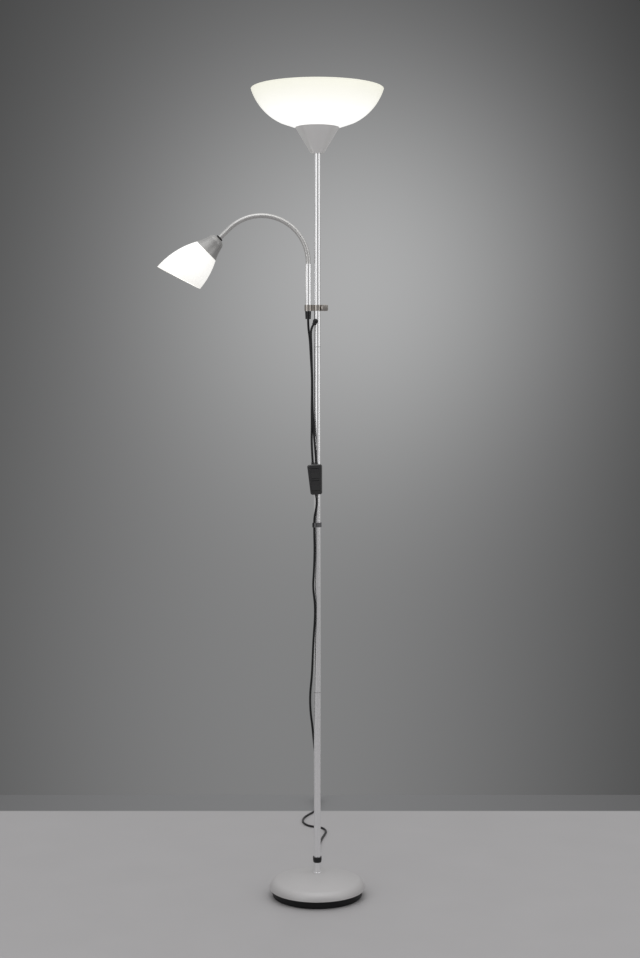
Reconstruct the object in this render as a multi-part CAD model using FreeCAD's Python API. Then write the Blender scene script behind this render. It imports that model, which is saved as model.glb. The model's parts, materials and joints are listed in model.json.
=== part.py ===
# Torchiere floor lamp with a reading light on a flexible side arm.
#
# Millimetres, +Z up. The origin is where the axis of the pole meets the floor, under the round
# foot. +X is to the right and +Y away from someone who stands in front of the lamp.
# The reading arm leaves the pole towards -X.
import FreeCAD, Part
import math
import os

V = FreeCAD.Vector
X_AXIS = V(1, 0, 0)
Y_AXIS = V(0, 1, 0)
Z_AXIS = V(0, 0, 1)
FRONT = V(0, -1, 0)

# ---------------------------------------------------------------- clearances
SEAT_GAP = 0.05           # radial play of a piece that turns or slides on another
FIT_GAP = 0.1             # radial play of a piece that is pushed over another and stays
REST_GAP = 0.3            # between curved faces of pieces that only lie against each other

# ---------------------------------------------------------------- foot
PAD_HEIGHT = 1.5
PAD_RADIUS = 9.0
PAD_RING_RADIUS = 78.0
PAD_COUNT = 4
NUT_COVER_LAP = 4.0       # foam disc over the nut pocket, this much wider than it all round
TRAY_BOTTOM_RADIUS = 99.0
TRAY_TOP_RADIUS = 102.4
TRAY_TOP_Z = 17.0
TRAY_WALL = 2.2
TRAY_FLOOR = 2.0
WEIGHT_GAP = 4.8          # round the cast-iron disc, whose hub the cover rests on
WEIGHT_HEIGHT = 12.0
WEIGHT_EDGE = 3.0
WEIGHT_HUB_RADIUS = 20.0
NUT_POCKET_RADIUS = 15.0
NUT_POCKET_DEPTH = 10.0
WASHER_RADIUS = 12.0
WASHER_THICKNESS = 1.6
NUT_ACROSS_FLATS = 17.0
NUT_HEIGHT = 6.0
COVER_RADIUS = 106.5
COVER_SHOULDER_RADIUS = 89.0
COVER_SHOULDER_Z = 36.5
COVER_CROWN_Z = 50.0
COVER_CROWN_BULGE = 2.7
COVER_EDGE_BULGE = 4.1
COVER_THICKNESS = 1.0
COVER_BEAD_RADIUS = 1.1
COVER_BEAD_STAND = 0.2    # the rolled edge stands out this far past the dome
COVER_LEDGE = 2.0         # width of the turned-in edge inside the tray's rim

# ---------------------------------------------------------------- pole
POLE_RADIUS = 7.5
POLE_WALL = 0.8
POLE_JOINTS_Z = [453.0, 827.0, 1224.0]
STUB_RADIUS = 7.0
STUB_FLANGE_RADIUS = 9.0
STUB_FLANGE_HEIGHT = 1.6
COLLAR_RADIUS = 9.9
COLLAR_FOOT_RADIUS = 8.6
COLLAR_BULGE = 0.3
COLLAR_BOTTOM_Z = 74.0
COLLAR_FLOOR = 3.0
COLLAR_HEIGHT = 12.0
COUPLER_LENGTH = 50.0
COUPLER_BORE = 3.3
INSERT_LENGTH = 26.0
ROD_RADIUS = 5.0          # M10 threaded tube and rod
ROD_BORE = 3.4
ROD_RUNOUT = 4.0          # the foot's rod ends this far below the top of its insert
WIRE_RADIUS = 2.5
WIRE_HANG = 12.0          # the wire reaches this far below the cord's grommet

# ---------------------------------------------------------------- uplight
BOWL_RIM_Z = 1800.0       # height of the lamp
BOWL_RIM_RADIUS = 148.5
BOWL_HEIGHT = 86.0        # above the top of the cup
BOWL_WALL = 2.5
BOWL_KNEE_RADIUS = 86.0
BOWL_KNEE_RISE = 13.5     # above the top of the cup
BOWL_SIDE_BULGE = 9.7
BOWL_FOOT_INSET = 14.0    # the bowl's base curves in this far from the edge of the cup
BOWL_FOOT_DROP = 3.8
BOWL_FLAT_INSET = 10.0    # and is flat from here on, round the lamp holder
BOWL_SINK = 7.0           # depth of that flat below the top of the cup
CUP_HEIGHT = 58.0
CUP_BOTTOM_RADIUS = 14.75
CUP_TOP_RADIUS = 49.35
CUP_WALL = 0.9
CUP_FLOOR = 1.5
CUP_NUT_FLATS = 14.0
CUP_NUT_HEIGHT = 5.0
HOLDER_STAND = 2.5        # from that nut up to the lamp holder
HOLDER_CAP_RADIUS = 16.5
HOLDER_CAP_EDGE = 3.0
HOLDER_CAP_HEIGHT = 18.0
HOLDER_FLOOR = 4.0
HOLDER_THREAD_DEPTH = 6.0
HOLDER_SKIRT_RADIUS = 19.5
HOLDER_FLANGE_RADIUS = 22.5
HOLDER_FLANGE_HEIGHT = 3.0
HOLDER_FLANGE_TAPER = 2.0
HOLDER_RISE = 11.0        # above the flat of the bowl
E27_RADIUS = 13.2
THREAD_GAP = 0.5
SHADE_RING_WIDTH = 4.0
SHADE_RING_HEIGHT = 5.0
BULB_RADIUS = 30.0
BULB_REACH = 72.0         # above the lamp holder

# ---------------------------------------------------------------- clamp and reading arm
CLAMP_Z = 1311.0
CLAMP_HEIGHT = 13.4
STRAP_THICKNESS = 1.3
TUBE_SPACING = 6.0        # between the pole and the arm's sleeve
WEB_THICKNESS = 5.0
EAR_GAP = 2.4
EAR_BEYOND_BOLT = 7.4
EAR_CORNER = 3.0
BOLT_RADIUS = 2.5
BOLT_HEAD_RADIUS = 4.6
BOLT_HEAD_HEIGHT = 3.0
BOLT_HEAD_EDGE = 1.2
KNOB_RADIUS = 7.6
KNOB_LENGTH = 8.0
KNOB_CROWN = 1.3          # its front is a shallow dome
KNOB_EDGE = 1.0
KNOB_CAP = 1.0            # closed front of the knob
KNOB_FLUTES = 18
KNOB_FLUTE_RADIUS = 0.8
KNOB_FLUTE_OFFSET = 0.3
KNOB_TO_STRAP = 0.2
BOLT_SHORT = 0.5          # the shank ends this far short of the knob's closed front
SLEEVE_RADIUS = 7.0
SLEEVE_LENGTH = 105.0
SLEEVE_BELOW_CLAMP = 7.0  # from the middle of the clamp down to the end of the sleeve
SLEEVE_EDGE = 0.7
GLAND_LENGTH = 18.0
GLAND_BOTTOM_RADIUS = 6.1
GLAND_PLUG_LENGTH = 12.0
NECK_RADIUS = 5.5         # flexible neck
NECK_IN_SLEEVE = 74.0
NECK_STRAIGHT = 4.0       # above the sleeve, before it bends
NECK_BEND_RADIUS = 104.0
NECK_SWEEP = 134.2        # degrees that the neck turns, from straight up over and down
NECK_TAIL = 28.2          # straight end of the neck, into the head
NECK_LINKS = 6
LINK_SOCKET_GAP = 0.15

# ---------------------------------------------------------------- reading head, along its own axis
HEAD_BORE = 3.5
HEAD_COLLAR_RADIUS = 8.3
HEAD_COLLAR_LENGTH = 3.0
HEAD_LENGTH = 42.0        # from the end of the neck to the shoulder of the shade
CAP_WALL = 0.8
CAP_CREST_RADIUS = 19.0
CAP_CREST_DEPTH = 29.0    # behind the shoulder
CAP_DOME_BULGE = 1.8
CAP_FLARE_BULGE = 1.3
CAP_LIP_RADIUS = 30.0
SHADE_SHOULDER_RADIUS = 29.5
SHADE_MOUTH_RADIUS = 50.8
SHADE_BULGE = 7.7
SHADE_LONG_SIDE = 103.0
SHADE_SHORT_SIDE = 69.0
SHADE_WALL = 2.2
E14_RADIUS = 6.9
SOCKET_RADIUS = 13.5
SOCKET_EDGE = 3.0
SOCKET_FLANGE = 2.5
SOCKET_TAIL = 27.0        # behind the shoulder
SOCKET_FLOOR = 8.0
SOCKET_REACH = 13.0       # in front of the shoulder
READING_RING_WIDTH = 4.0
READING_RING_HEIGHT = 5.0
READING_BULB_RADIUS = 20.0
READING_BULB_REACH = 53.0

# ---------------------------------------------------------------- cords and what is on them
CORD_RADIUS = 2.5
GROMMET_Z = 1281.0
GROMMET_AZIMUTH = 238.0   # degrees round the pole from +X
GROMMET_RADIUS = 6.0
GROMMET_STEM_RADIUS = 4.0
GROMMET_STEM_START = 1.5  # from the axis of the pole
GROMMET_NOZZLE_RADIUS = 3.7
GROMMET_NOZZLE_TAPER = 1.0
GROMMET_NOZZLE_REACH = 8.5
GROMMET_NOZZLE_AIM = V(-0.50, -0.30, -0.81)
CLIP_AZIMUTH = 237.3
CLIP_HEIGHT = 10.0
CLIP_WALL = 2.0
CLIP_LOBE_WALL = 1.6
CLIP_CORD_GAP = 0.5
CLIP_MOUTH = 3.75
SWITCH_CENTRE = V(-4.0, -18.2, 929.4)
SWITCH_TILT = 3.6         # degrees; it hangs a little out of plumb on its cords
SWITCH_HEIGHT = 67.3
SWITCH_TOP_WIDTH = 34.0
SWITCH_BOTTOM_WIDTH = 25.8
SWITCH_DEPTH = 20.0
SWITCH_CORNER = 5.0
SWITCH_EDGE = 3.0
SWITCH_CROWN = 3.0        # its front is rounded across, this much higher in the middle
SCREW_RADIUS = 2.8
SCREW_HEIGHT = 1.1
SCREW_INSET = 9.0         # from the end of the housing
SCREW_SINK = 1.2
SCREW_SLOT = V(4.4, 0.5, 0.8)
ROCKER_SPACING = 27.0
ROCKER_WIDTH = 17.0
ROCKER_RADIUS = 11.0      # half of its height, swung round its pivot
ROCKER_PIVOT_DEPTH = 3.0  # below the front of the housing
ROCKER_BACK = 2.2         # behind the pivot
ROCKER_DISH = 0.6         # its middle lies this far below the housing's front
ROCKER_SLOPE = 0.2        # of each half of its face, towards the front
ROCKER_GAP = 0.35
ROCKER_POCKET = 7.0
ROCKER_TILT = 6.0
PIVOT_RADIUS = 1.2
PIVOT_LENGTH = 1.5
PIVOT_END_GAP = 0.5
RELIEF_END_WALL = 0.7
RELIEF_TAPER = 1.0
ENTRY_SPACING = 7.6
ENTRY_LENGTH = 5.3
EXIT_LENGTH = 7.4
PLUG_X = -1.0
PLUG_Y = 776.0
PLUG_WIDTH = 35.3
PLUG_THICKNESS = 13.7
PLUG_LENGTH = 36.0
PLUG_CORNER = 4.0
PLUG_TAIL_WIDTH = 7.6
PLUG_TAIL_THICKNESS = 7.4
PLUG_WAIST_WIDTH = 12.0
PLUG_WAIST_THICKNESS = 9.0
PLUG_TAIL_CORNER = 3.0
PLUG_RELIEF = 12.0        # from the cord to the waist
PLUG_SHOULDER = 14.0      # from the waist to the full width
PIN_RADIUS = 2.0
PIN_EDGE = 1.2
PIN_LENGTH = 19.0
PIN_SPACING = 18.6

# ---------------------------------------------------------------- worked out from the sizes above
TRAY_INSIDE_Z = PAD_HEIGHT + TRAY_FLOOR
WEIGHT_RADIUS = min(TRAY_BOTTOM_RADIUS, TRAY_TOP_RADIUS) - TRAY_WALL - WEIGHT_GAP
ROD_HOLE = ROD_RADIUS + FIT_GAP
POLE_BOTTOM_Z = COLLAR_BOTTOM_Z + COLLAR_FLOOR
CUP_TOP_Z = BOWL_RIM_Z - BOWL_HEIGHT
CUP_BOTTOM_Z = CUP_TOP_Z - CUP_HEIGHT
BOWL_FLOOR_Z = CUP_TOP_Z - BOWL_SINK
HOLDER_BOTTOM_Z = CUP_BOTTOM_Z + CUP_FLOOR + CUP_NUT_HEIGHT + HOLDER_STAND
HOLDER_TOP_Z = BOWL_FLOOR_Z + HOLDER_RISE
ARM_X = -(POLE_RADIUS + TUBE_SPACING + SLEEVE_RADIUS)
BOLT_X = POLE_RADIUS + STRAP_THICKNESS + KNOB_TO_STRAP + KNOB_RADIUS
EAR_DEPTH = EAR_GAP + 2 * STRAP_THICKNESS
SLEEVE_BOTTOM_Z = CLAMP_Z - SLEEVE_BELOW_CLAMP
SLEEVE_TOP_Z = SLEEVE_BOTTOM_Z + SLEEVE_LENGTH
SLEEVE_BORE = NECK_RADIUS + FIT_GAP
GLAND_BOTTOM_Z = SLEEVE_BOTTOM_Z - GLAND_LENGTH
NECK_ARC_Z = SLEEVE_TOP_Z + NECK_STRAIGHT
NECK_STEP = NECK_SWEEP / NECK_LINKS
NECK_JOINTS = [NECK_STEP * (k + 0.5) for k in range(NECK_LINKS)]
CLIP_Z = POLE_JOINTS_Z[1]
CLIP_BORE = CORD_RADIUS + CLIP_CORD_GAP
CLIP_REACH = POLE_RADIUS + FIT_GAP + CLIP_WALL + CLIP_BORE
CLIP_X = CLIP_REACH * math.cos(math.radians(CLIP_AZIMUTH))
CLIP_Y = CLIP_REACH * math.sin(math.radians(CLIP_AZIMUTH))
FLOOR_CORD_Z = CORD_RADIUS + FIT_GAP


# ---------------------------------------------------------------- helpers
def save(name, shape):
    """Write one piece, and say what it is made of."""
    os.makedirs("parts", exist_ok=True)
    shape = shape.removeSplitter() if len(shape.Solids) == 1 else shape
    shape.exportStep("parts/" + name + ".step")
    print("%-22s solids %d  volume %.1f  valid %s" % (name, len(shape.Solids), shape.Volume, shape.isValid()))


def save_placed(name, shape, placement):
    """Carry a shape from its own frame to its place on the lamp, and write it."""
    moved = shape.copy()
    moved.Placement = placement.multiply(shape.Placement)
    save(name, moved)


def ring(outer, inner, bottom, top, x=0.0, y=0.0):
    """An upright tube between two heights, or a solid rod when inner is 0."""
    base = V(x, y, bottom)
    body = Part.makeCylinder(outer, top - bottom, base, Z_AXIS)
    if inner <= 0:
        return body
    return body.cut(Part.makeCylinder(inner, top - bottom, base, Z_AXIS))


def turned(points):
    """A solid turned on the Z axis from (radius, height) points. A point of four numbers is an
    arc: a point that it passes through, and its end."""
    edges = []
    here = points[0]
    for point in points[1:] + [points[0]]:
        start = V(here[-2], 0, here[-1])
        end = V(point[-2], 0, point[-1])
        if len(point) == 4:
            edges.append(Part.Arc(start, V(point[0], 0, point[1]), end).toShape())
        else:
            edges.append(Part.makeLine(start, end))
        here = point
    return Part.Face(Part.Wire(edges)).revolve(V(0, 0, 0), Z_AXIS, 360)


def bowed(start, end, bulge):
    """An arc as (first, middle, last) points. It stands off its chord by bulge, to the right of
    the way it runs in the (radius, height) plane, or to the left when bulge is negative."""
    dx, dz = end[0] - start[0], end[1] - start[1]
    length = math.hypot(dx, dz)
    middle = ((start[0] + end[0]) / 2 + dz / length * bulge, (start[1] + end[1]) / 2 - dx / length * bulge)
    return (start, middle, end)


def arc_centre(first, middle, last):
    """Centre of the circle through three (radius, height) points."""
    ax, ay = first
    bx, by = middle
    cx, cy = last
    d = 2 * (ax * (by - cy) + bx * (cy - ay) + cx * (ay - by))
    a2, b2, c2 = ax * ax + ay * ay, bx * bx + by * by, cx * cx + cy * cy
    return ((a2 * (by - cy) + b2 * (cy - ay) + c2 * (ay - by)) / d,
            (a2 * (cx - bx) + b2 * (ax - cx) + c2 * (bx - ax)) / d)


def offset_arc(arc, distance):
    """The three points of an arc, moved square to it: to its left, or to its right when negative."""
    (ax, ay), (bx, by), (cx, cy) = arc
    ox, oy = arc_centre(*arc)
    turns_left = (bx - ax) * (cy - ay) - (by - ay) * (cx - ax) > 0
    inward = distance if turns_left else -distance
    moved = []
    for x, y in arc:
        scale = 1 - inward / math.hypot(x - ox, y - oy)
        moved.append((ox + (x - ox) * scale, oy + (y - oy) * scale))
    return moved


def wall(arcs, thickness):
    """Outline of a wall along joined arcs, its face first and then its back, which is laid off
    to the left of the arcs, or to the right when thickness is negative."""
    outline = [arcs[0][0]]
    for first, middle, last in arcs:
        outline.append(middle + last)
    backs = [offset_arc(arc, thickness) for arc in arcs]
    outline.append(backs[-1][2])
    for index in range(len(backs) - 1, -1, -1):
        end = backs[index][0]
        if index > 0:
            meet = backs[index - 1][2]
            end = ((end[0] + meet[0]) / 2, (end[1] + meet[1]) / 2)
        outline.append(backs[index][1] + end)
    return outline


def bulb_solid(base_z, thread_radius, mouth_z, globe_radius, end_z):
    """A round bulb: a screw base with a bevelled tip, a short cone and the globe."""
    tip = thread_radius * 0.3
    globe = Part.makeSphere(globe_radius, V(0, 0, end_z - globe_radius))
    spread = globe_radius * 0.84
    cone_end = end_z - globe_radius * 1.5
    base = turned([(0, base_z), (thread_radius - tip, base_z), (thread_radius, base_z + tip),
                   (thread_radius, mouth_z), (spread, cone_end), (0, cone_end)])
    return globe.fuse(base)


def hexagon(across_flats, bottom, top, bore):
    """A hexagon nut on the Z axis."""
    corner = across_flats / 2 / math.cos(math.radians(30))
    points = [V(corner * math.cos(math.radians(60 * k)), corner * math.sin(math.radians(60 * k)), bottom)
              for k in range(7)]
    nut = Part.Face(Part.makePolygon(points)).extrude(V(0, 0, top - bottom))
    return nut.cut(Part.makeCylinder(bore, top - bottom, V(0, 0, bottom), Z_AXIS))


def rounded_section(width, depth, radius, z):
    """Closed outline of a rounded rectangle in the plane at height z."""
    hw, hd = width / 2 - radius, depth / 2 - radius
    diagonal = radius * math.sqrt(0.5)
    corners = [(hw, hd, 1, 1), (-hw, hd, -1, 1), (-hw, -hd, -1, -1), (hw, -hd, 1, -1)]
    edges = []
    ends = []
    for cx, cy, sx, sy in corners:
        side = V(cx + sx * radius, cy, z)
        top = V(cx, cy + sy * radius, z)
        middle = V(cx + sx * diagonal, cy + sy * diagonal, z)
        start, end = (side, top) if sx == sy else (top, side)
        ends.append((start, end))
        edges.append(Part.Arc(start, middle, end).toShape())
    for index in range(4):
        edges.append(Part.makeLine(ends[index][1], ends[(index + 1) % 4][0]))
    return Part.Wire(Part.__sortEdges__(edges))


def cord(name, points):
    """A round cord: straight runs joined by tangent arcs as large as the runs allow."""
    edges = []
    radii = []
    here = points[0]
    length = 0.0
    for before, corner, after in zip(points, points[1:], points[2:]):
        run_in = corner - before
        run_out = after - corner
        turn = run_in.getAngle(run_out)
        reach = 0.45 * min(run_in.Length, run_out.Length)
        unit_in = V(run_in).normalize()
        unit_out = V(run_out).normalize()
        start = corner - unit_in * reach
        end = corner + unit_out * reach
        bend = reach / math.tan(turn / 2)
        inward = V(unit_out - unit_in).normalize()
        middle = corner + inward * (bend / math.cos(turn / 2) - bend)
        edges.append(Part.LineSegment(here, start).toShape())
        edges.append(Part.Arc(start, middle, end).toShape())
        length += (start - here).Length + bend * turn
        radii.append(bend)
        here = end
    edges.append(Part.LineSegment(here, points[-1]).toShape())
    length += (points[-1] - here).Length
    section = Part.Wire(Part.makeCircle(CORD_RADIUS, points[0], points[1] - points[0]))
    tube = Part.Wire(edges).makePipeShell([section], True, False)
    expected = math.pi * CORD_RADIUS ** 2 * length
    print("%s: length %.0f, smallest radius %.1f, radii %s" % (
        name, length, min(radii), " ".join("%.0f" % r for r in radii)))
    print("%s: volume over section times length %.4f" % (name, tube.Volume / expected))
    save(name, tube)


# ---------------------------------------------------------------- foot
def make_foot():
    pads = []
    for k in range(PAD_COUNT):
        angle = math.radians(360.0 / PAD_COUNT * (k + 0.5))
        pads.append(ring(PAD_RADIUS, 0, 0, PAD_HEIGHT,
                         PAD_RING_RADIUS * math.cos(angle), PAD_RING_RADIUS * math.sin(angle)))
    save("foot_pads", Part.makeCompound(pads))
    save("foot_nut_cover", ring(NUT_POCKET_RADIUS + NUT_COVER_LAP, 0, 0, PAD_HEIGHT))

    tray = turned([(NUT_POCKET_RADIUS, PAD_HEIGHT), (TRAY_BOTTOM_RADIUS, PAD_HEIGHT),
                   (TRAY_TOP_RADIUS, TRAY_TOP_Z), (TRAY_TOP_RADIUS - TRAY_WALL, TRAY_TOP_Z),
                   (TRAY_BOTTOM_RADIUS - TRAY_WALL, TRAY_INSIDE_Z), (NUT_POCKET_RADIUS, TRAY_INSIDE_Z)])
    save("foot_tray", tray)

    disc_top = TRAY_INSIDE_Z + WEIGHT_HEIGHT
    pocket_top = TRAY_INSIDE_Z + NUT_POCKET_DEPTH
    hub_top = COVER_CROWN_Z - COVER_THICKNESS - REST_GAP
    weight = turned([(ROD_HOLE, pocket_top), (NUT_POCKET_RADIUS, pocket_top),
                     (NUT_POCKET_RADIUS, TRAY_INSIDE_Z), (WEIGHT_RADIUS, TRAY_INSIDE_Z),
                     (WEIGHT_RADIUS, disc_top - WEIGHT_EDGE), (WEIGHT_RADIUS - WEIGHT_EDGE, disc_top),
                     (WEIGHT_HUB_RADIUS, disc_top), (STUB_FLANGE_RADIUS, hub_top), (ROD_HOLE, hub_top)])
    save("foot_weight", weight)

    washer_bottom = pocket_top - WASHER_THICKNESS
    save("foot_washer", ring(WASHER_RADIUS, ROD_HOLE, washer_bottom, pocket_top))
    save("foot_nut", hexagon(NUT_ACROSS_FLATS, washer_bottom - NUT_HEIGHT, washer_bottom, ROD_RADIUS))
    save("foot_rod", ring(ROD_RADIUS, 0, TRAY_INSIDE_Z, POLE_BOTTOM_Z + INSERT_LENGTH - ROD_RUNOUT))

    shoulder = (COVER_SHOULDER_RADIUS, COVER_SHOULDER_Z)
    bead_z = TRAY_TOP_Z + COVER_BEAD_RADIUS
    crown = bowed((ROD_HOLE, COVER_CROWN_Z), shoulder, -COVER_CROWN_BULGE)
    edge = bowed(shoulder, (COVER_RADIUS, bead_z), -COVER_EDGE_BULGE)
    dome = turned(wall([crown, edge], -COVER_THICKNESS))
    bead = Part.makeTorus(COVER_RADIUS - COVER_BEAD_RADIUS + COVER_BEAD_STAND, COVER_BEAD_RADIUS,
                          V(0, 0, bead_z), Z_AXIS)
    ledge = ring(COVER_RADIUS - COVER_BEAD_RADIUS, TRAY_TOP_RADIUS - TRAY_WALL - COVER_LEDGE,
                 TRAY_TOP_Z, TRAY_TOP_Z + COVER_THICKNESS)
    save("foot_cover", dome.fuse([bead, ledge]))

    stub = ring(STUB_RADIUS, ROD_RADIUS, COVER_CROWN_Z, COLLAR_BOTTOM_Z)
    flange = ring(STUB_FLANGE_RADIUS, ROD_RADIUS, COVER_CROWN_Z, COVER_CROWN_Z + STUB_FLANGE_HEIGHT)
    save("pole_stub", stub.fuse(flange))

    collar_top = COLLAR_BOTTOM_Z + COLLAR_HEIGHT
    collar_bore = POLE_RADIUS + FIT_GAP
    swell = bowed((COLLAR_FOOT_RADIUS, COLLAR_BOTTOM_Z),
                  (COLLAR_RADIUS, COLLAR_BOTTOM_Z + COLLAR_HEIGHT / 2), COLLAR_BULGE)
    collar = turned([(ROD_RADIUS, COLLAR_BOTTOM_Z), swell[0], swell[1] + swell[2],
                     (COLLAR_RADIUS, collar_top), (collar_bore, collar_top),
                     (collar_bore, POLE_BOTTOM_Z), (ROD_RADIUS, POLE_BOTTOM_Z)])
    save("pole_collar", collar)


# ---------------------------------------------------------------- pole
def make_pole():
    """Four tubes end to end, joined inside, and the grommet that lets a cord out of the third."""
    bore = POLE_RADIUS - POLE_WALL
    ends = [POLE_BOTTOM_Z] + POLE_JOINTS_Z + [CUP_BOTTOM_Z]
    angle = math.radians(GROMMET_AZIMUTH)
    outward = V(math.cos(angle), math.sin(angle), 0)
    axis_point = V(0, 0, GROMMET_Z)
    hole = Part.makeCylinder(GROMMET_STEM_RADIUS, 2 * POLE_RADIUS, axis_point + outward * GROMMET_STEM_START, outward)
    for index in range(len(ends) - 1):
        tube = ring(POLE_RADIUS, bore, ends[index], ends[index + 1])
        if ends[index] < GROMMET_Z < ends[index + 1]:
            tube = tube.cut(hole)
        save("pole_tube_%d" % (index + 1), tube)
    couplers = [ring(bore, COUPLER_BORE, z - COUPLER_LENGTH / 2, z + COUPLER_LENGTH / 2) for z in POLE_JOINTS_Z]
    save("pole_couplers", Part.makeCompound(couplers))
    inserts = [ring(bore, ROD_RADIUS, ends[0], ends[0] + INSERT_LENGTH),
               ring(bore, ROD_RADIUS, ends[-1] - INSERT_LENGTH, ends[-1])]
    save("pole_inserts", Part.makeCompound(inserts))
    save("pole_wire", ring(WIRE_RADIUS, 0, GROMMET_Z - WIRE_HANG, HOLDER_BOTTOM_Z + HOLDER_THREAD_DEPTH))

    seat = axis_point + outward * POLE_RADIUS
    aim = V(GROMMET_NOZZLE_AIM).normalize()
    wire_way = Part.makeCylinder(WIRE_RADIUS + REST_GAP, 2 * WIRE_HANG, axis_point - Z_AXIS * WIRE_HANG, Z_AXIS)
    stem = Part.makeCylinder(GROMMET_STEM_RADIUS, POLE_RADIUS - GROMMET_STEM_START,
                             axis_point + outward * GROMMET_STEM_START, outward)
    dome = Part.makeSphere(GROMMET_RADIUS, seat)
    nozzle = Part.makeCone(GROMMET_NOZZLE_RADIUS + GROMMET_NOZZLE_TAPER, GROMMET_NOZZLE_RADIUS,
                           GROMMET_NOZZLE_REACH, seat, aim)
    pole_space = Part.makeCylinder(POLE_RADIUS, 4 * GROMMET_RADIUS, axis_point - Z_AXIS * 2 * GROMMET_RADIUS, Z_AXIS)
    head = dome.fuse(nozzle).cut(pole_space)
    save("pole_grommet", head.fuse(stem.cut(wire_way)))
    return seat + aim * GROMMET_NOZZLE_REACH, aim


def make_cord_clip():
    """Plastic ring round the pole with an open lobe that the cord is pushed into."""
    bottom, top = CLIP_Z - CLIP_HEIGHT / 2, CLIP_Z + CLIP_HEIGHT / 2
    pole_bore = POLE_RADIUS + FIT_GAP
    band = ring(pole_bore + CLIP_WALL, 0, bottom, top)
    lobe_radius = CLIP_BORE + CLIP_LOBE_WALL
    lobe = ring(lobe_radius, 0, bottom, top, CLIP_X, CLIP_Y)
    clip = band.fuse(lobe).cut(ring(pole_bore, 0, bottom, top))
    clip = clip.cut(ring(CLIP_BORE, 0, bottom, top, CLIP_X, CLIP_Y))
    mouth = Part.makeBox(2 * lobe_radius, CLIP_MOUTH, CLIP_HEIGHT, V(0, -CLIP_MOUTH / 2, 0))
    mouth.rotate(V(0, 0, 0), Z_AXIS, CLIP_AZIMUTH)
    mouth.translate(V(CLIP_X, CLIP_Y, bottom))
    save("cord_clip", clip.cut(mouth))


# ---------------------------------------------------------------- uplight
def make_uplight():
    spread = (CUP_TOP_RADIUS - CUP_BOTTOM_RADIUS) / CUP_HEIGHT
    floor_top = CUP_BOTTOM_Z + CUP_FLOOR
    cup = turned([(ROD_HOLE, CUP_BOTTOM_Z), (CUP_BOTTOM_RADIUS, CUP_BOTTOM_Z), (CUP_TOP_RADIUS, CUP_TOP_Z),
                  (CUP_TOP_RADIUS - CUP_WALL, CUP_TOP_Z),
                  (CUP_BOTTOM_RADIUS + spread * CUP_FLOOR - CUP_WALL, floor_top), (ROD_HOLE, floor_top)])
    save("uplight_cup", cup)
    save("uplight_nut", hexagon(CUP_NUT_FLATS, floor_top, floor_top + CUP_NUT_HEIGHT, ROD_RADIUS))
    thread_top = HOLDER_BOTTOM_Z + HOLDER_THREAD_DEPTH
    save("uplight_nipple", ring(ROD_RADIUS, ROD_BORE, CUP_BOTTOM_Z - INSERT_LENGTH, thread_top))

    seat = BOWL_FLOOR_Z
    cap_top = HOLDER_BOTTOM_Z + HOLDER_CAP_HEIGHT
    wire_hole = WIRE_RADIUS + REST_GAP
    bulb_hole = E27_RADIUS + THREAD_GAP
    holder_floor = cap_top + HOLDER_FLOOR
    holder = turned([(ROD_RADIUS, HOLDER_BOTTOM_Z), (HOLDER_CAP_RADIUS - HOLDER_CAP_EDGE, HOLDER_BOTTOM_Z),
                     (HOLDER_CAP_RADIUS, HOLDER_BOTTOM_Z + HOLDER_CAP_EDGE), (HOLDER_SKIRT_RADIUS, cap_top),
                     (HOLDER_SKIRT_RADIUS, seat - HOLDER_FLANGE_HEIGHT - HOLDER_FLANGE_TAPER),
                     (HOLDER_FLANGE_RADIUS, seat - HOLDER_FLANGE_HEIGHT), (HOLDER_FLANGE_RADIUS, seat),
                     (HOLDER_SKIRT_RADIUS, seat), (HOLDER_SKIRT_RADIUS, HOLDER_TOP_Z), (bulb_hole, HOLDER_TOP_Z),
                     (bulb_hole, holder_floor), (wire_hole, holder_floor), (wire_hole, thread_top),
                     (ROD_RADIUS, thread_top)])
    save("uplight_holder", holder)

    skirt_hole = HOLDER_SKIRT_RADIUS + FIT_GAP
    foot = (CUP_TOP_RADIUS - BOWL_FOOT_INSET, CUP_TOP_Z - BOWL_FOOT_DROP)
    over_cup = (CUP_TOP_RADIUS, CUP_TOP_Z + 2 * REST_GAP)
    knee = (BOWL_KNEE_RADIUS, CUP_TOP_Z + BOWL_KNEE_RISE)
    side = bowed(knee, (BOWL_RIM_RADIUS, BOWL_RIM_Z), BOWL_SIDE_BULGE)
    flat = foot[0] - BOWL_FLAT_INSET
    bowl = turned([(skirt_hole, seat), (flat, seat)] + wall([(foot, over_cup, knee), side], BOWL_WALL)
                  + [(flat, seat + BOWL_WALL), (skirt_hole, seat + BOWL_WALL)])
    span = 4 * BOWL_RIM_RADIUS
    above = Part.makeBox(span, span, span, V(-span / 2, -span / 2, BOWL_RIM_Z))
    save("uplight_bowl", bowl.cut(above))
    ring_bottom = seat + BOWL_WALL
    save("uplight_shade_ring", ring(skirt_hole + SHADE_RING_WIDTH, skirt_hole,
                                    ring_bottom, ring_bottom + SHADE_RING_HEIGHT))

    save("uplight_bulb", bulb_solid(holder_floor + REST_GAP, E27_RADIUS, HOLDER_TOP_Z + THREAD_GAP,
                                    BULB_RADIUS, HOLDER_TOP_Z + BULB_REACH))


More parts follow.
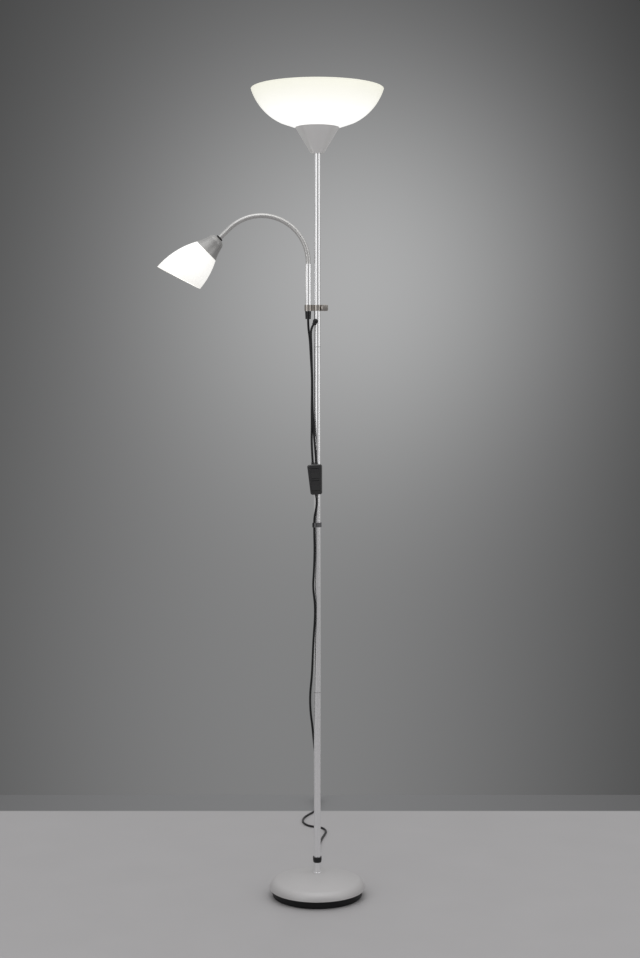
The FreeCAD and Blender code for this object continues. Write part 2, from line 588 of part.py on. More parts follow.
# ---------------------------------------------------------------- clamp
def make_clamp():
    """One bent strap round the pole and the arm, closed by a bolt and a fluted thumb nut."""
    bottom, top = CLAMP_Z - CLAMP_HEIGHT / 2, CLAMP_Z + CLAMP_HEIGHT / 2
    pole_bore = POLE_RADIUS + SEAT_GAP
    arm_bore = SLEEVE_RADIUS + SEAT_GAP
    ear_end = BOLT_X + EAR_BEYOND_BOLT
    web = Part.makeBox(-ARM_X, WEB_THICKNESS, CLAMP_HEIGHT, V(ARM_X, -WEB_THICKNESS / 2, bottom))
    ears = Part.makeBox(ear_end, EAR_DEPTH, CLAMP_HEIGHT, V(0, -EAR_DEPTH / 2, bottom))
    strap = ring(pole_bore + STRAP_THICKNESS, 0, bottom, top)
    strap = strap.fuse([ring(arm_bore + STRAP_THICKNESS, 0, bottom, top, ARM_X), web, ears])
    strap = strap.cut(ring(pole_bore, 0, bottom, top))
    strap = strap.cut(ring(arm_bore, 0, bottom, top, ARM_X))
    strap = strap.cut(Part.makeBox(ear_end, EAR_GAP, CLAMP_HEIGHT, V(0, -EAR_GAP / 2, bottom)))
    strap = strap.cut(Part.makeCylinder(BOLT_RADIUS + FIT_GAP, 2 * EAR_DEPTH, V(BOLT_X, -EAR_DEPTH, CLAMP_Z), Y_AXIS))
    corners = [edge for edge in strap.Edges if abs(edge.CenterOfMass.x - ear_end) < 0.01
               and abs(edge.CenterOfMass.z - CLAMP_Z) > CLAMP_HEIGHT * 0.45 and edge.Length < STRAP_THICKNESS * 1.1]
    save("clamp_strap", strap.makeFillet(EAR_CORNER, corners))

    back = EAR_DEPTH / 2
    shank_length = EAR_DEPTH + SEAT_GAP + KNOB_LENGTH - KNOB_CAP - BOLT_SHORT
    shank = Part.makeCylinder(BOLT_RADIUS, shank_length, V(BOLT_X, back, CLAMP_Z), FRONT)
    head = Part.makeCylinder(BOLT_HEAD_RADIUS, BOLT_HEAD_HEIGHT, V(BOLT_X, back, CLAMP_Z), Y_AXIS)
    far_edge = [e for e in head.Edges if abs(e.CenterOfMass.y - back - BOLT_HEAD_HEIGHT) < 0.01]
    save("clamp_bolt", shank.fuse(head.makeFillet(BOLT_HEAD_EDGE, far_edge)))

    knob_back = -EAR_DEPTH / 2 - SEAT_GAP
    centre = V(BOLT_X, knob_back, CLAMP_Z)
    dome = (KNOB_RADIUS ** 2 + KNOB_CROWN ** 2) / (2 * KNOB_CROWN)
    knob = Part.makeCylinder(KNOB_RADIUS, KNOB_LENGTH, centre, FRONT)
    knob = knob.common(Part.makeSphere(dome, centre + FRONT * (KNOB_LENGTH - dome)))
    rim_y = knob_back - KNOB_LENGTH + KNOB_CROWN
    knob = knob.makeFillet(KNOB_EDGE, [e for e in knob.Edges if e.BoundBox.XLength > KNOB_RADIUS
                                       and abs(e.CenterOfMass.y - rim_y) < 0.05])
    flutes = []
    for k in range(KNOB_FLUTES):
        angle = 2 * math.pi * k / KNOB_FLUTES
        spoke = V(math.cos(angle), 0, math.sin(angle)) * (KNOB_RADIUS + KNOB_FLUTE_OFFSET)
        flutes.append(Part.makeCylinder(KNOB_FLUTE_RADIUS, KNOB_LENGTH, centre + spoke, FRONT))
    thread = Part.makeCylinder(BOLT_RADIUS + SEAT_GAP, KNOB_LENGTH - KNOB_CAP, centre, FRONT)
    save("clamp_knob", knob.cut(flutes + [thread]))


# ---------------------------------------------------------------- reading arm
def neck_point(angle):
    """A point on the bent part of the neck, at an angle in degrees from its start."""
    a = math.radians(angle)
    centre_x = ARM_X - NECK_BEND_RADIUS
    return V(centre_x + NECK_BEND_RADIUS * math.cos(a), 0, NECK_ARC_Z + NECK_BEND_RADIUS * math.sin(a))


def neck_placement(angle):
    """Frame on the neck whose Z runs along it."""
    return FreeCAD.Placement(neck_point(angle), FreeCAD.Rotation(Y_AXIS, -angle))


def neck_pipe(start, end):
    """The neck between two angles of its bend."""
    arc = Part.Arc(neck_point(start), neck_point((start + end) / 2), neck_point(end)).toShape()
    a = math.radians(start)
    section = Part.Wire(Part.makeCircle(NECK_RADIUS, neck_point(start), V(-math.sin(a), 0, math.cos(a))))
    return Part.Wire([arc]).makePipeShell([section], True, False)


def make_arm():
    """Sleeve and cord gland, and the neck as links. Each link ends in a ball that the next
    link's socket goes round, so they turn on one another along the bend."""
    sleeve = ring(SLEEVE_RADIUS, SLEEVE_BORE, SLEEVE_BOTTOM_Z, SLEEVE_TOP_Z, ARM_X)
    mouth = [e for e in sleeve.Edges if abs(e.CenterOfMass.z - SLEEVE_TOP_Z) < 0.01
             and e.BoundBox.XLength > SLEEVE_RADIUS + SLEEVE_BORE]
    save("arm_sleeve", sleeve.makeFillet(SLEEVE_EDGE, mouth))
    taper = Part.makeCone(GLAND_BOTTOM_RADIUS, SLEEVE_RADIUS, GLAND_LENGTH, V(ARM_X, 0, GLAND_BOTTOM_Z), Z_AXIS)
    plug = ring(SLEEVE_BORE, 0, SLEEVE_BOTTOM_Z, SLEEVE_BOTTOM_Z + GLAND_PLUG_LENGTH, ARM_X)
    save("arm_gland", taper.fuse(plug))

    balls = [Part.makeSphere(NECK_RADIUS, neck_point(angle)) for angle in NECK_JOINTS]
    sockets = [Part.makeSphere(NECK_RADIUS + LINK_SOCKET_GAP, neck_point(angle)) for angle in NECK_JOINTS]
    stem = ring(NECK_RADIUS, 0, SLEEVE_TOP_Z - NECK_IN_SLEEVE, NECK_ARC_Z, ARM_X)
    save("neck_root", stem.fuse([neck_pipe(0.0, NECK_JOINTS[0]), balls[0]]))
    for k in range(NECK_LINKS - 1):
        link = neck_pipe(NECK_JOINTS[k], NECK_JOINTS[k + 1]).cut(sockets[k])
        save("neck_link_%d" % (k + 1), link.fuse(balls[k + 1]))
    tail = ring(NECK_RADIUS, 0, 0, NECK_TAIL)
    tail.Placement = neck_placement(NECK_SWEEP)
    end_link = neck_pipe(NECK_JOINTS[-1], NECK_SWEEP).cut(sockets[-1])
    save("neck_link_%d" % NECK_LINKS, end_link.fuse(tail))
    for k, angle in enumerate(NECK_JOINTS):
        point = neck_point(angle)
        print("neck joint %d at %.3f %.3f %.3f" % (k + 1, point.x, point.y, point.z))


# ---------------------------------------------------------------- reading head
def make_head():
    """The head is turned on its own axis, with Z = 0 at the end of the neck, and then placed."""
    place = neck_placement(NECK_SWEEP).multiply(FreeCAD.Placement(V(0, 0, NECK_TAIL), FreeCAD.Rotation()))

    save_placed("head_collar", ring(HEAD_COLLAR_RADIUS, HEAD_BORE, 0, HEAD_COLLAR_LENGTH), place)
    socket_bottom = HEAD_LENGTH - SOCKET_TAIL
    save_placed("head_nipple", ring(HEAD_BORE, 0, 0, socket_bottom), place)

    crest = (CAP_CREST_RADIUS, HEAD_LENGTH - CAP_CREST_DEPTH)
    dome = bowed((HEAD_COLLAR_RADIUS, HEAD_COLLAR_LENGTH), crest, CAP_DOME_BULGE)
    flare = bowed(crest, (CAP_LIP_RADIUS, HEAD_LENGTH), -CAP_FLARE_BULGE)
    cap_inside = HEAD_COLLAR_LENGTH + CAP_WALL
    cap = turned([(HEAD_BORE, HEAD_COLLAR_LENGTH)] + wall([dome, flare], CAP_WALL)
                 + [(HEAD_COLLAR_RADIUS - CAP_WALL, cap_inside), (HEAD_BORE, cap_inside)])
    save_placed("head_cap", cap, place)

    shoulder = HEAD_LENGTH + CAP_WALL
    front = HEAD_LENGTH + SOCKET_REACH
    thread = E14_RADIUS + THREAD_GAP
    socket_floor = HEAD_LENGTH - SOCKET_FLOOR
    socket = turned([(0, socket_bottom), (SOCKET_RADIUS - SOCKET_EDGE, socket_bottom),
                     (SOCKET_RADIUS, socket_bottom + SOCKET_EDGE), (SOCKET_RADIUS, shoulder - 2 * SOCKET_FLANGE),
                     (SOCKET_RADIUS + SOCKET_FLANGE, shoulder - SOCKET_FLANGE),
                     (SOCKET_RADIUS + SOCKET_FLANGE, shoulder), (SOCKET_RADIUS, shoulder),
                     (SOCKET_RADIUS, front), (thread, front), (thread, socket_floor), (0, socket_floor)])
    save_placed("head_socket", socket, place)

    side = bowed((SHADE_SHOULDER_RADIUS, shoulder), (SHADE_MOUTH_RADIUS, shoulder + SHADE_LONG_SIDE), SHADE_BULGE)
    socket_hole = SOCKET_RADIUS + FIT_GAP
    shade_inside = shoulder + SHADE_WALL
    shade = turned([(socket_hole, shoulder)] + wall([side], SHADE_WALL)
                   + [(SHADE_SHOULDER_RADIUS - 2 * SHADE_WALL, shade_inside), (socket_hole, shade_inside)])
    slant = math.degrees(math.atan2(SHADE_LONG_SIDE - SHADE_SHORT_SIDE, 2 * SHADE_MOUTH_RADIUS))
    size = 4 * SHADE_MOUTH_RADIUS
    mouth = Part.makeBox(size, size, size, V(-size / 2, -size / 2, 0))
    mouth.rotate(V(0, 0, 0), Y_AXIS, -slant)
    mouth.translate(V(0, 0, shoulder + (SHADE_LONG_SIDE + SHADE_SHORT_SIDE) / 2))
    save_placed("head_shade", shade.cut(mouth), place)
    save_placed("head_shade_ring", ring(socket_hole + READING_RING_WIDTH, socket_hole,
                                        shade_inside, shade_inside + READING_RING_HEIGHT), place)
    save_placed("head_bulb", bulb_solid(socket_floor + REST_GAP, E14_RADIUS, front + THREAD_GAP,
                                        READING_BULB_RADIUS, front + READING_BULB_REACH), place)


# ---------------------------------------------------------------- cord switch
def make_switch():
    """Modelled upright, front towards -Y, round its own centre, and then hung out of plumb."""
    hang = FreeCAD.Placement(SWITCH_CENTRE, FreeCAD.Rotation(Y_AXIS, -SWITCH_TILT))
    half = SWITCH_HEIGHT / 2
    wide, narrow = SWITCH_TOP_WIDTH / 2, SWITCH_BOTTOM_WIDTH / 2
    front, back = -SWITCH_DEPTH / 2, SWITCH_DEPTH / 2
    outline = Part.makePolygon([V(-narrow, front, -half), V(narrow, front, -half), V(wide, front, half),
                                V(-wide, front, half), V(-narrow, front, -half)])
    block = Part.Face(outline).extrude(V(0, SWITCH_DEPTH, 0))
    block = block.makeFillet(SWITCH_CORNER, [e for e in block.Edges if e.BoundBox.YLength > SWITCH_DEPTH - 0.1])
    crown = (wide ** 2 + SWITCH_CROWN ** 2) / (2 * SWITCH_CROWN)
    block = block.common(Part.makeCylinder(crown, 2 * SWITCH_HEIGHT, V(0, front + crown, -SWITCH_HEIGHT), Z_AXIS))
    front_edges = [e for e in block.Edges if e.BoundBox.YMax < front + 1.2 * SWITCH_CROWN]
    back_edges = [e for e in block.Edges if e.BoundBox.YMin > back - 0.1]
    block = block.makeFillet(SWITCH_EDGE, front_edges + back_edges)

    pivot_y = front + ROCKER_PIVOT_DEPTH
    pivot_span = ROCKER_WIDTH + 2 * PIVOT_LENGTH
    pocket_width = ROCKER_WIDTH + 2 * ROCKER_GAP
    pocket_half = ROCKER_RADIUS + ROCKER_GAP
    cuts = []
    for sign in (1, -1):
        pivot_z = sign * ROCKER_SPACING / 2
        cuts.append(Part.makeBox(pocket_width, 2 * ROCKER_POCKET, 2 * pocket_half,
                                 V(-pocket_width / 2, front - ROCKER_POCKET, pivot_z - pocket_half)))
        cuts.append(Part.makeCylinder(PIVOT_RADIUS + SEAT_GAP, pivot_span + 2 * PIVOT_END_GAP,
                                      V(-pivot_span / 2 - PIVOT_END_GAP, pivot_y, pivot_z), X_AXIS))
    body = block.cut(cuts)
    size = 2 * SWITCH_HEIGHT
    behind = Part.makeBox(size, size, size, V(-size / 2, 0, -size / 2))
    save_placed("switch_front", body.cut(behind), hang)
    back_half = body.common(behind)
    screws = []
    for sign in (1, -1):
        seat = V(0, back - SCREW_SINK, sign * (half - SCREW_INSET))
        back_half = back_half.cut(Part.makeCylinder(SCREW_RADIUS + FIT_GAP, 2 * SCREW_SINK, seat, Y_AXIS))
        slot = Part.makeBox(SCREW_SLOT.x, 2 * SCREW_SLOT.y, SCREW_SLOT.z,
                            seat + V(-SCREW_SLOT.x / 2, SCREW_HEIGHT - SCREW_SLOT.y, -SCREW_SLOT.z / 2))
        screws.append(Part.makeCylinder(SCREW_RADIUS, SCREW_HEIGHT, seat, Y_AXIS).cut(slot))
    save_placed("switch_back", back_half, hang)
    save_placed("switch_screws", Part.makeCompound(screws), hang)

    relief_end = CORD_RADIUS + RELIEF_END_WALL
    reliefs = [Part.makeCone(relief_end + RELIEF_TAPER, relief_end, EXIT_LENGTH, V(0, 0, -half), -Z_AXIS)]
    for sign in (1, -1):
        reliefs.append(Part.makeCone(relief_end + RELIEF_TAPER, relief_end, ENTRY_LENGTH,
                                     V(sign * ENTRY_SPACING / 2, 0, half), Z_AXIS))
    save_placed("switch_reliefs", Part.makeCompound(reliefs), hang)

    reach = 1.5 * ROCKER_RADIUS
    middle_y = ROCKER_DISH - ROCKER_PIVOT_DEPTH
    end_y = middle_y - ROCKER_SLOPE * reach
    face = [V(-ROCKER_WIDTH, ROCKER_BACK, -reach), V(-ROCKER_WIDTH, ROCKER_BACK, reach),
            V(-ROCKER_WIDTH, end_y, reach), V(-ROCKER_WIDTH, middle_y, 0), V(-ROCKER_WIDTH, end_y, -reach)]
    keep = Part.Face(Part.makePolygon(face + [face[0]])).extrude(V(2 * ROCKER_WIDTH, 0, 0))
    wheel = Part.makeCylinder(ROCKER_RADIUS, ROCKER_WIDTH, V(-ROCKER_WIDTH / 2, 0, 0), X_AXIS)
    pin = Part.makeCylinder(PIVOT_RADIUS, pivot_span, V(-pivot_span / 2, 0, 0), X_AXIS)
    rocker = wheel.common(keep).fuse(pin)
    for name, sign in (("rocker_uplight", 1), ("rocker_reading", -1)):
        pivot = V(0, pivot_y, sign * ROCKER_SPACING / 2)
        seat = FreeCAD.Placement(pivot, FreeCAD.Rotation(X_AXIS, ROCKER_TILT))
        save_placed(name, rocker, hang.multiply(seat))
        pivot = hang.multVec(pivot)
        print("%s pivot at %.3f %.3f %.3f" % (name, pivot.x, pivot.y, pivot.z))
    left = hang.multVec(V(-ENTRY_SPACING / 2, 0, half + ENTRY_LENGTH))
    right = hang.multVec(V(ENTRY_SPACING / 2, 0, half + ENTRY_LENGTH))
    out = hang.multVec(V(0, 0, -half - EXIT_LENGTH))
    return left, right, out, hang.Rotation.multVec(Z_AXIS)


# ---------------------------------------------------------------- plug
def make_plug():
    """Flat two-pin plug, lying on its narrow side behind the lamp, pins away from it."""
    tail = V(PLUG_X, PLUG_Y, PLUG_WIDTH / 2)
    lie = FreeCAD.Placement(tail, FreeCAD.Rotation(X_AXIS, -90))
    sections = [rounded_section(PLUG_TAIL_THICKNESS, PLUG_TAIL_WIDTH, PLUG_TAIL_CORNER, 0.0),
                rounded_section(PLUG_WAIST_THICKNESS, PLUG_WAIST_WIDTH, PLUG_TAIL_CORNER, PLUG_RELIEF),
                rounded_section(PLUG_THICKNESS, PLUG_WIDTH, PLUG_CORNER, PLUG_RELIEF + PLUG_SHOULDER),
                rounded_section(PLUG_THICKNESS, PLUG_WIDTH, PLUG_CORNER, PLUG_LENGTH)]
    save_placed("plug_body", Part.makeLoft(sections, True, True), lie)
    pins = []
    for sign in (1, -1):
        pin = Part.makeCylinder(PIN_RADIUS, PIN_LENGTH, V(0, sign * PIN_SPACING / 2, PLUG_LENGTH), Z_AXIS)
        tip = [e for e in pin.Edges if abs(e.CenterOfMass.z - PLUG_LENGTH - PIN_LENGTH) < 0.01]
        pins.append(pin.makeFillet(PIN_EDGE, tip))
    save_placed("plug_pins", Part.makeCompound(pins), lie)
    return tail


# ---------------------------------------------------------------- cords
def make_cords(grommet_end, grommet_aim, left, right, out, up, plug_tail):
    """Three stretches: arm to switch, pole to switch, and switch to plug."""
    arm_end = V(ARM_X, 0, GLAND_BOTTOM_Z)
    cord("cord_arm", [
        arm_end, arm_end - Z_AXIS * 17.0, V(-16.4, -1.2, 1240), V(-14.6, -0.6, 1205), V(-12.2, -1.4, 1165),
        V(-11.8, -0.5, 1125), V(-12.5, -1.6, 1085), V(-12.2, -4.2, 1047), V(-12.8, -10.4, 1015),
        left + up * 20.0, left])
    cord("cord_pole", [
        grommet_end, grommet_end + grommet_aim * 9.0, V(-14.6, -12.0, 1253), V(-13.2, -8.4, 1225),
        V(-12.4, -7.5, 1185), V(-11.0, -7.8, 1145), V(-11.2, -7.2, 1105), V(-9.4, -8.4, 1065),
        V(-7.6, -10.6, 1032), V(-5.4, -15.4, 1008), right + up * 20.0, right])
    floor = FLOOR_CORD_Z
    collar_top = COLLAR_BOTTOM_Z + COLLAR_HEIGHT
    cord("cord_mains", [
        out, out - up * 14.0, V(-4.2, -14.2, 856), V(CLIP_X, CLIP_Y, 841), V(CLIP_X, CLIP_Y, 813),
        V(-5.8, -11.2, 772), V(-7.0, -10.5, 730), V(-9.8, -8.8, 688), V(-5.2, -11.7, 655),
        V(-4.9, -11.9, 620), V(-8.3, -9.6, 576), V(-10.2, -7.8, 532), V(-12.0, -6.0, 490),
        V(-16.4, -4.0, 448), V(-15.4, 0.0, 410), V(-10.6, 5.6, 373), V(-7.4, 10.6, 335),
        V(-2.6, 13.2, 298), V(0.6, 13.6, 256), V(-0.8, 13.4, 208), V(0.9, 13.8, 160),
        V(-0.4, 14.2, collar_top + 30), V(0.2, 18.6, collar_top), V(0.7, 37.0, COVER_CROWN_Z + 9.5),
        V(0.4, COVER_SHOULDER_RADIUS - 23, COVER_CROWN_Z + 0.5),
        V(-0.4, COVER_SHOULDER_RADIUS + 5, COVER_SHOULDER_Z + 6.5),
        V(-0.2, COVER_RADIUS + 11.5, TRAY_TOP_Z + 12), V(0.3, COVER_RADIUS + 34.5, floor + 8.9),
        V(0.3, COVER_RADIUS + 61.5, floor + 0.3),
        V(-0.6, 205.0, floor), V(1.0, 250.0, floor), V(0.4, 300.0, floor), V(2.2, 346.0, floor),
        V(4.8, 389.0, floor), V(9.6, 431.0, floor), V(17.0, 468.0, floor), V(22.5, 503.0, floor),
        V(14.0, 532.0, floor), V(-6.0, 541.0, floor), V(-26.0, 553.0, floor), V(-39.0, 584.0, floor),
        V(-38.0, 622.0, floor), V(-26.0, 655.0, floor), V(-12.0, 682.0, floor), V(-3.6, 710.0, floor + 0.8),
        V(-1.2, 732.0, 8.6), V(PLUG_X, 752.0, plug_tail.z), plug_tail])


make_foot()
nozzle_end, nozzle_aim = make_pole()
make_cord_clip()
make_uplight()
make_clamp()
make_arm()
make_head()
left_entry, right_entry, bottom_exit, switch_up = make_switch()
plug_end = make_plug()
make_cords(nozzle_end, nozzle_aim, left_entry, right_entry, bottom_exit, switch_up, plug_end)
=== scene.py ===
# %% [markdown]
# # A torchiere floor lamp with a reading light
#
# The lamp was drawn in CAD first. This lesson dresses that drawing in Blender: it adds the
# camera, the cords, the wound neck, the finishes and the light. The drawing's own pieces are
# loaded as a fixed frame, in metres, with the origin on the floor under the pole.

# %% Load the frame
import json
import math

import bpy
from mathutils import Matrix, Vector


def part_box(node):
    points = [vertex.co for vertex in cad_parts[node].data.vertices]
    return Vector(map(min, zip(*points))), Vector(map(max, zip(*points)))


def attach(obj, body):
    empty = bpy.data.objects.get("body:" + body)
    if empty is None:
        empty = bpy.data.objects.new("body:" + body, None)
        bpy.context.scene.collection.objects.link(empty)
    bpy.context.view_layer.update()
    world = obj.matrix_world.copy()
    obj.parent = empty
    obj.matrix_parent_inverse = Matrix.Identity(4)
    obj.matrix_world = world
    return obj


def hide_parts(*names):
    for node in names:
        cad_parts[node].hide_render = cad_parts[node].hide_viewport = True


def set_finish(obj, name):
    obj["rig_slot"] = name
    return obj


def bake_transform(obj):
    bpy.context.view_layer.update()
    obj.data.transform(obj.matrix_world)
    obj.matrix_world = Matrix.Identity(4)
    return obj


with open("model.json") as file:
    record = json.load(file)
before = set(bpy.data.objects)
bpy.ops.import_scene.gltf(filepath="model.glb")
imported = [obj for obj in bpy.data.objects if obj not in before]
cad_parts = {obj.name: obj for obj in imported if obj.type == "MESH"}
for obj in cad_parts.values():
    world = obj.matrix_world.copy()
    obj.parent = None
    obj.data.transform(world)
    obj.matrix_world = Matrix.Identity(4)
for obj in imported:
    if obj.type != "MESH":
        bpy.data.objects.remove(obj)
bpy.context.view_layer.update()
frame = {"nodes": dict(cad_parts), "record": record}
SLOT_OF = {part["node"]: part["material_slot"] for part in frame["record"]["subparts"]}

# %% [markdown]
# ## Camera
#
# The photograph was taken from standing height with the camera held level, so the upright pole
# stays upright in the picture. A tilted camera could frame the lamp too, but its verticals would
# lean. The lens is shifted down instead, which keeps the level view and still shows the foot.

# %% The camera
FRAME_HEIGHT = 958        # pixels
FOCAL_LENGTH = 1630       # in the same pixels
HORIZON_ROW = 376         # pixels below the top of the picture
SENSOR = 36               # mm, along the height of the picture
EYE = (0.006, -3.64, 1.159)  # metres

bpy.ops.object.camera_add(location=EYE, rotation=(math.radians(90), 0, 0))
camera = bpy.context.object
camera.name = "camera"
camera.data.sensor_width = SENSOR
camera.data.lens = SENSOR * FOCAL_LENGTH / FRAME_HEIGHT
camera.data.shift_y = (HORIZON_ROW - FRAME_HEIGHT / 2) / FRAME_HEIGHT
bpy.context.scene.camera = camera
print("lens %.1f mm, shift %.3f" % (camera.data.lens, camera.data.shift_y))

# %% [markdown]
# ## Cords
#
# Three black cords meet at the switch that hangs on the pole. One comes out of the arm, one out
# of the grommet in the pole, and the mains lead runs down from the switch, through the clip,
# over the foot and along the floor to the plug. Each is one smooth spline with the points of the
# drawing's route as its control points, so it bends as a real cord does, without corners.

# %% The routes
CORD_THICKNESS = 0.005
MM = 0.001
LEFT_ENTRY = (-10.238, -18.2, 968.034)
RIGHT_ENTRY = (-2.654, -18.2, 968.512)
SWITCH_EXIT = (-1.422, -18.2, 888.431)
ARM_EXIT = (-20.5, 0, 1286)
GROMMET_EXIT = (-8.233, -8.915, 1274.102)

ARM_ROUTE = [
    ARM_EXIT, (-20.5, 0, 1269), (-16.4, -1.2, 1240), (-14.6, -0.6, 1205), (-12.2, -1.4, 1165),
    (-11.8, -0.5, 1125), (-12.5, -1.6, 1085), (-12.2, -4.2, 1047), (-12.8, -10.4, 1015),
    (-11.494, -18.2, 987.995), LEFT_ENTRY]
POLE_ROUTE = [
    GROMMET_EXIT, (-12.742, -11.621, 1266.797), (-14.6, -12, 1253), (-13.2, -8.4, 1225),
    (-12.4, -7.5, 1185), (-11, -7.8, 1145), (-11.2, -7.2, 1105), (-9.4, -8.4, 1065),
    (-7.6, -10.6, 1032), (-5.4, -15.4, 1008), (-3.910, -18.2, 988.473), RIGHT_ENTRY]
MAINS_ROUTE = [
    SWITCH_EXIT, (-0.543, -18.2, 874.459), (-4.2, -14.2, 856), (-6.807, -10.603, 841),
    (-6.807, -10.603, 813), (-5.8, -11.2, 772), (-7, -10.5, 730), (-9.8, -8.8, 688),
    (-5.2, -11.7, 655), (-4.9, -11.9, 620), (-8.3, -9.6, 576), (-10.2, -7.8, 532),
    (-12, -6, 490), (-16.4, -4, 448), (-15.4, 0, 410), (-10.6, 5.6, 373), (-7.4, 10.6, 335),
    (-2.6, 13.2, 298), (0.6, 13.6, 256), (-0.8, 13.4, 208), (0.9, 13.8, 160), (-0.4, 14.2, 116),
    (0.2, 18.6, 86), (0.7, 37, 59.5), (0.4, 66, 50.5), (-0.4, 94, 43), (-0.2, 118, 29),
    (0.3, 141, 11.5), (0.3, 168, 2.9), (-0.6, 205, 2.6), (1, 250, 2.6), (0.4, 300, 2.6),
    (2.2, 346, 2.6), (4.8, 389, 2.6), (9.6, 431, 2.6), (17, 468, 2.6), (22.5, 503, 2.6),
    (14, 532, 2.6), (-6, 541, 2.6), (-26, 553, 2.6), (-39, 584, 2.6), (-38, 622, 2.6),
    (-26, 655, 2.6), (-12, 682, 2.6), (-3.6, 710, 3.4), (-1.2, 732, 8.6), (-1, 752, 17.65),
    (-1, 776, 17.65)]
print("cord routes of", len(ARM_ROUTE), len(POLE_ROUTE), len(MAINS_ROUTE), "points")


# %% A cord from its route
def metres(point):
    """A point of the drawing, which is in millimetres, as a vector in metres."""
    return Vector(point) * MM


def cord_curve(name, route, thickness):
    """A smooth spline through a route, as thick as the cord, or a bare line for thickness 0."""
    curve = bpy.data.curves.new(name, "CURVE")
    curve.dimensions = "3D"
    curve.resolution_u = 10
    spline = curve.splines.new("NURBS")
    spline.points.add(len(route) - 1)
    for point, place in zip(spline.points, route):
        point.co = (*metres(place), 1)
    spline.order_u = 3
    spline.use_endpoint_u = True
    curve.bevel_depth = thickness / 2
    curve.bevel_resolution = 4
    curve.use_fill_caps = thickness > 0
    piece = bpy.data.objects.new(name, curve)
    bpy.context.collection.objects.link(piece)
    return piece


def centre_line(name, route):
    """The points that a cord's spline runs through, and how long that is."""
    bare = cord_curve(name, route, 0)
    line = bpy.data.meshes.new_from_object(bare)
    points = [vertex.co.copy() for vertex in line.vertices]
    bpy.data.objects.remove(bare)
    return points, sum((b - a).length for a, b in zip(points, points[1:]))


# %% [markdown]
# A bevelled spline could stay a curve, but its box would then be reckoned from its control points.

# %% Laying a cord
cords = []


def lay_cord(name, route):
    """A mesh tube along a route, with its real length printed."""
    line, runs = centre_line(name, route)
    tube = cord_curve(name, route, CORD_THICKNESS)
    bpy.ops.object.select_all(action="DESELECT")
    bpy.context.view_layer.objects.active = tube
    tube.select_set(True)
    bpy.ops.object.convert(target="MESH")
    tube = bpy.context.object
    bpy.ops.object.shade_smooth()
    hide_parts(name.replace("lead", "cord"))
    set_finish(tube, "cord")
    cords.append(tube)
    print(name, "runs %.3f m" % runs)
    return tube


# %% The two cords that ride on the pole
lead_pole = lay_cord("lead_pole", POLE_ROUTE)
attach(lead_pole, "root")
lead_mains = lay_cord("lead_mains", MAINS_ROUTE)
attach(lead_mains, "root")

# %% [markdown]
# The arm's cord hangs from a gland that slides up the pole with the clamp, while its lower end
# stays in the switch. Riding on either body would tear it at the other, so it is attached to
# neither, and its place is kept in its mesh.

# %% The cord that hangs from the arm
lead_arm = lay_cord("lead_arm", ARM_ROUTE)
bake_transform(lead_arm)

# %% [markdown]
# ## Modelling by hand
#
# Most new pieces of a lamp are round: they come off a lathe or out of a round mould. The way to
# make one by hand is to draw half of its outline, point by point, and to spin that outline round
# its axis. One helper does this, and a second one puts a finished piece in its place.


# %% Selecting and finishing
def nothing_selected():
    """So that the next operator acts only on what it adds."""
    bpy.ops.object.select_all(action="DESELECT")


def only(piece):
    """Select one piece and make it the active one."""
    nothing_selected()
    bpy.context.view_layer.objects.active = piece
    piece.select_set(True)
    return piece


def place_mesh(piece, where):
    """Carry a piece to its place, and keep that place in its mesh, not in its object."""
    only(piece)
    piece.matrix_world = where @ piece.matrix_world
    bpy.ops.object.transform_apply(location=True, rotation=True, scale=True)
    return piece


def smooth(piece, sharpest=40):
    """Smooth shading, but for edges that turn by more than this many degrees."""
    only(piece)
    bpy.ops.object.shade_smooth_by_angle(angle=math.radians(sharpest))
    return piece


def another(piece, name):
    """A copy of a piece with a mesh of its own."""
    only(piece)
    bpy.ops.object.duplicate(linked=False)
    made = bpy.context.object
    made.name = name
    return made


def joined(name, pieces):
    """Several pieces as one object."""
    only(pieces[0])
    for piece in pieces[1:]:
        piece.select_set(True)
    bpy.ops.object.join()
    made = bpy.context.object
    made.name = name
    return made


# %% A piece spun from its outline
def spun(name, outline, segments=48, sharpest=40):
    """Draw half an outline, as (radius, height) in mm, and spin it round the upright axis."""
    nothing_selected()
    here = Vector((outline[0][0], 0, outline[0][1])) * MM
    bpy.ops.mesh.primitive_plane_add(size=MM, location=here)
    piece = bpy.context.object
    piece.name = name
    bpy.ops.object.mode_set(mode="EDIT")
    bpy.ops.mesh.select_mode(type="VERT")
    bpy.ops.mesh.merge(type="CENTER")
    for radius, height in outline[1:]:
        there = Vector((radius, 0, height)) * MM
        bpy.ops.mesh.extrude_region_move(TRANSFORM_OT_translate={"value": there - here})
        here = there
    bpy.ops.mesh.select_all(action="SELECT")
    bpy.ops.mesh.spin(steps=segments, angle=math.tau, center=(0, 0, 0), axis=(0, 0, 1))
    bpy.ops.mesh.select_all(action="SELECT")
    bpy.ops.mesh.remove_doubles(threshold=MM * 0.01)
    bpy.ops.mesh.normals_make_consistent(inside=False)
    bpy.ops.object.mode_set(mode="OBJECT")
    return smooth(place_mesh(piece, Matrix.Identity(4)), sharpest)


def bend_of_points(start, corner, end, count=8):
    """Points on a smooth bend from start to end that leans towards a corner."""
    points = []
    for step in range(count + 1):
        t = step / count
        points.append(tuple((1 - t) ** 2 * a + 2 * t * (1 - t) * b + t * t * c
                            for a, b, c in zip(start, corner, end)))
    return points


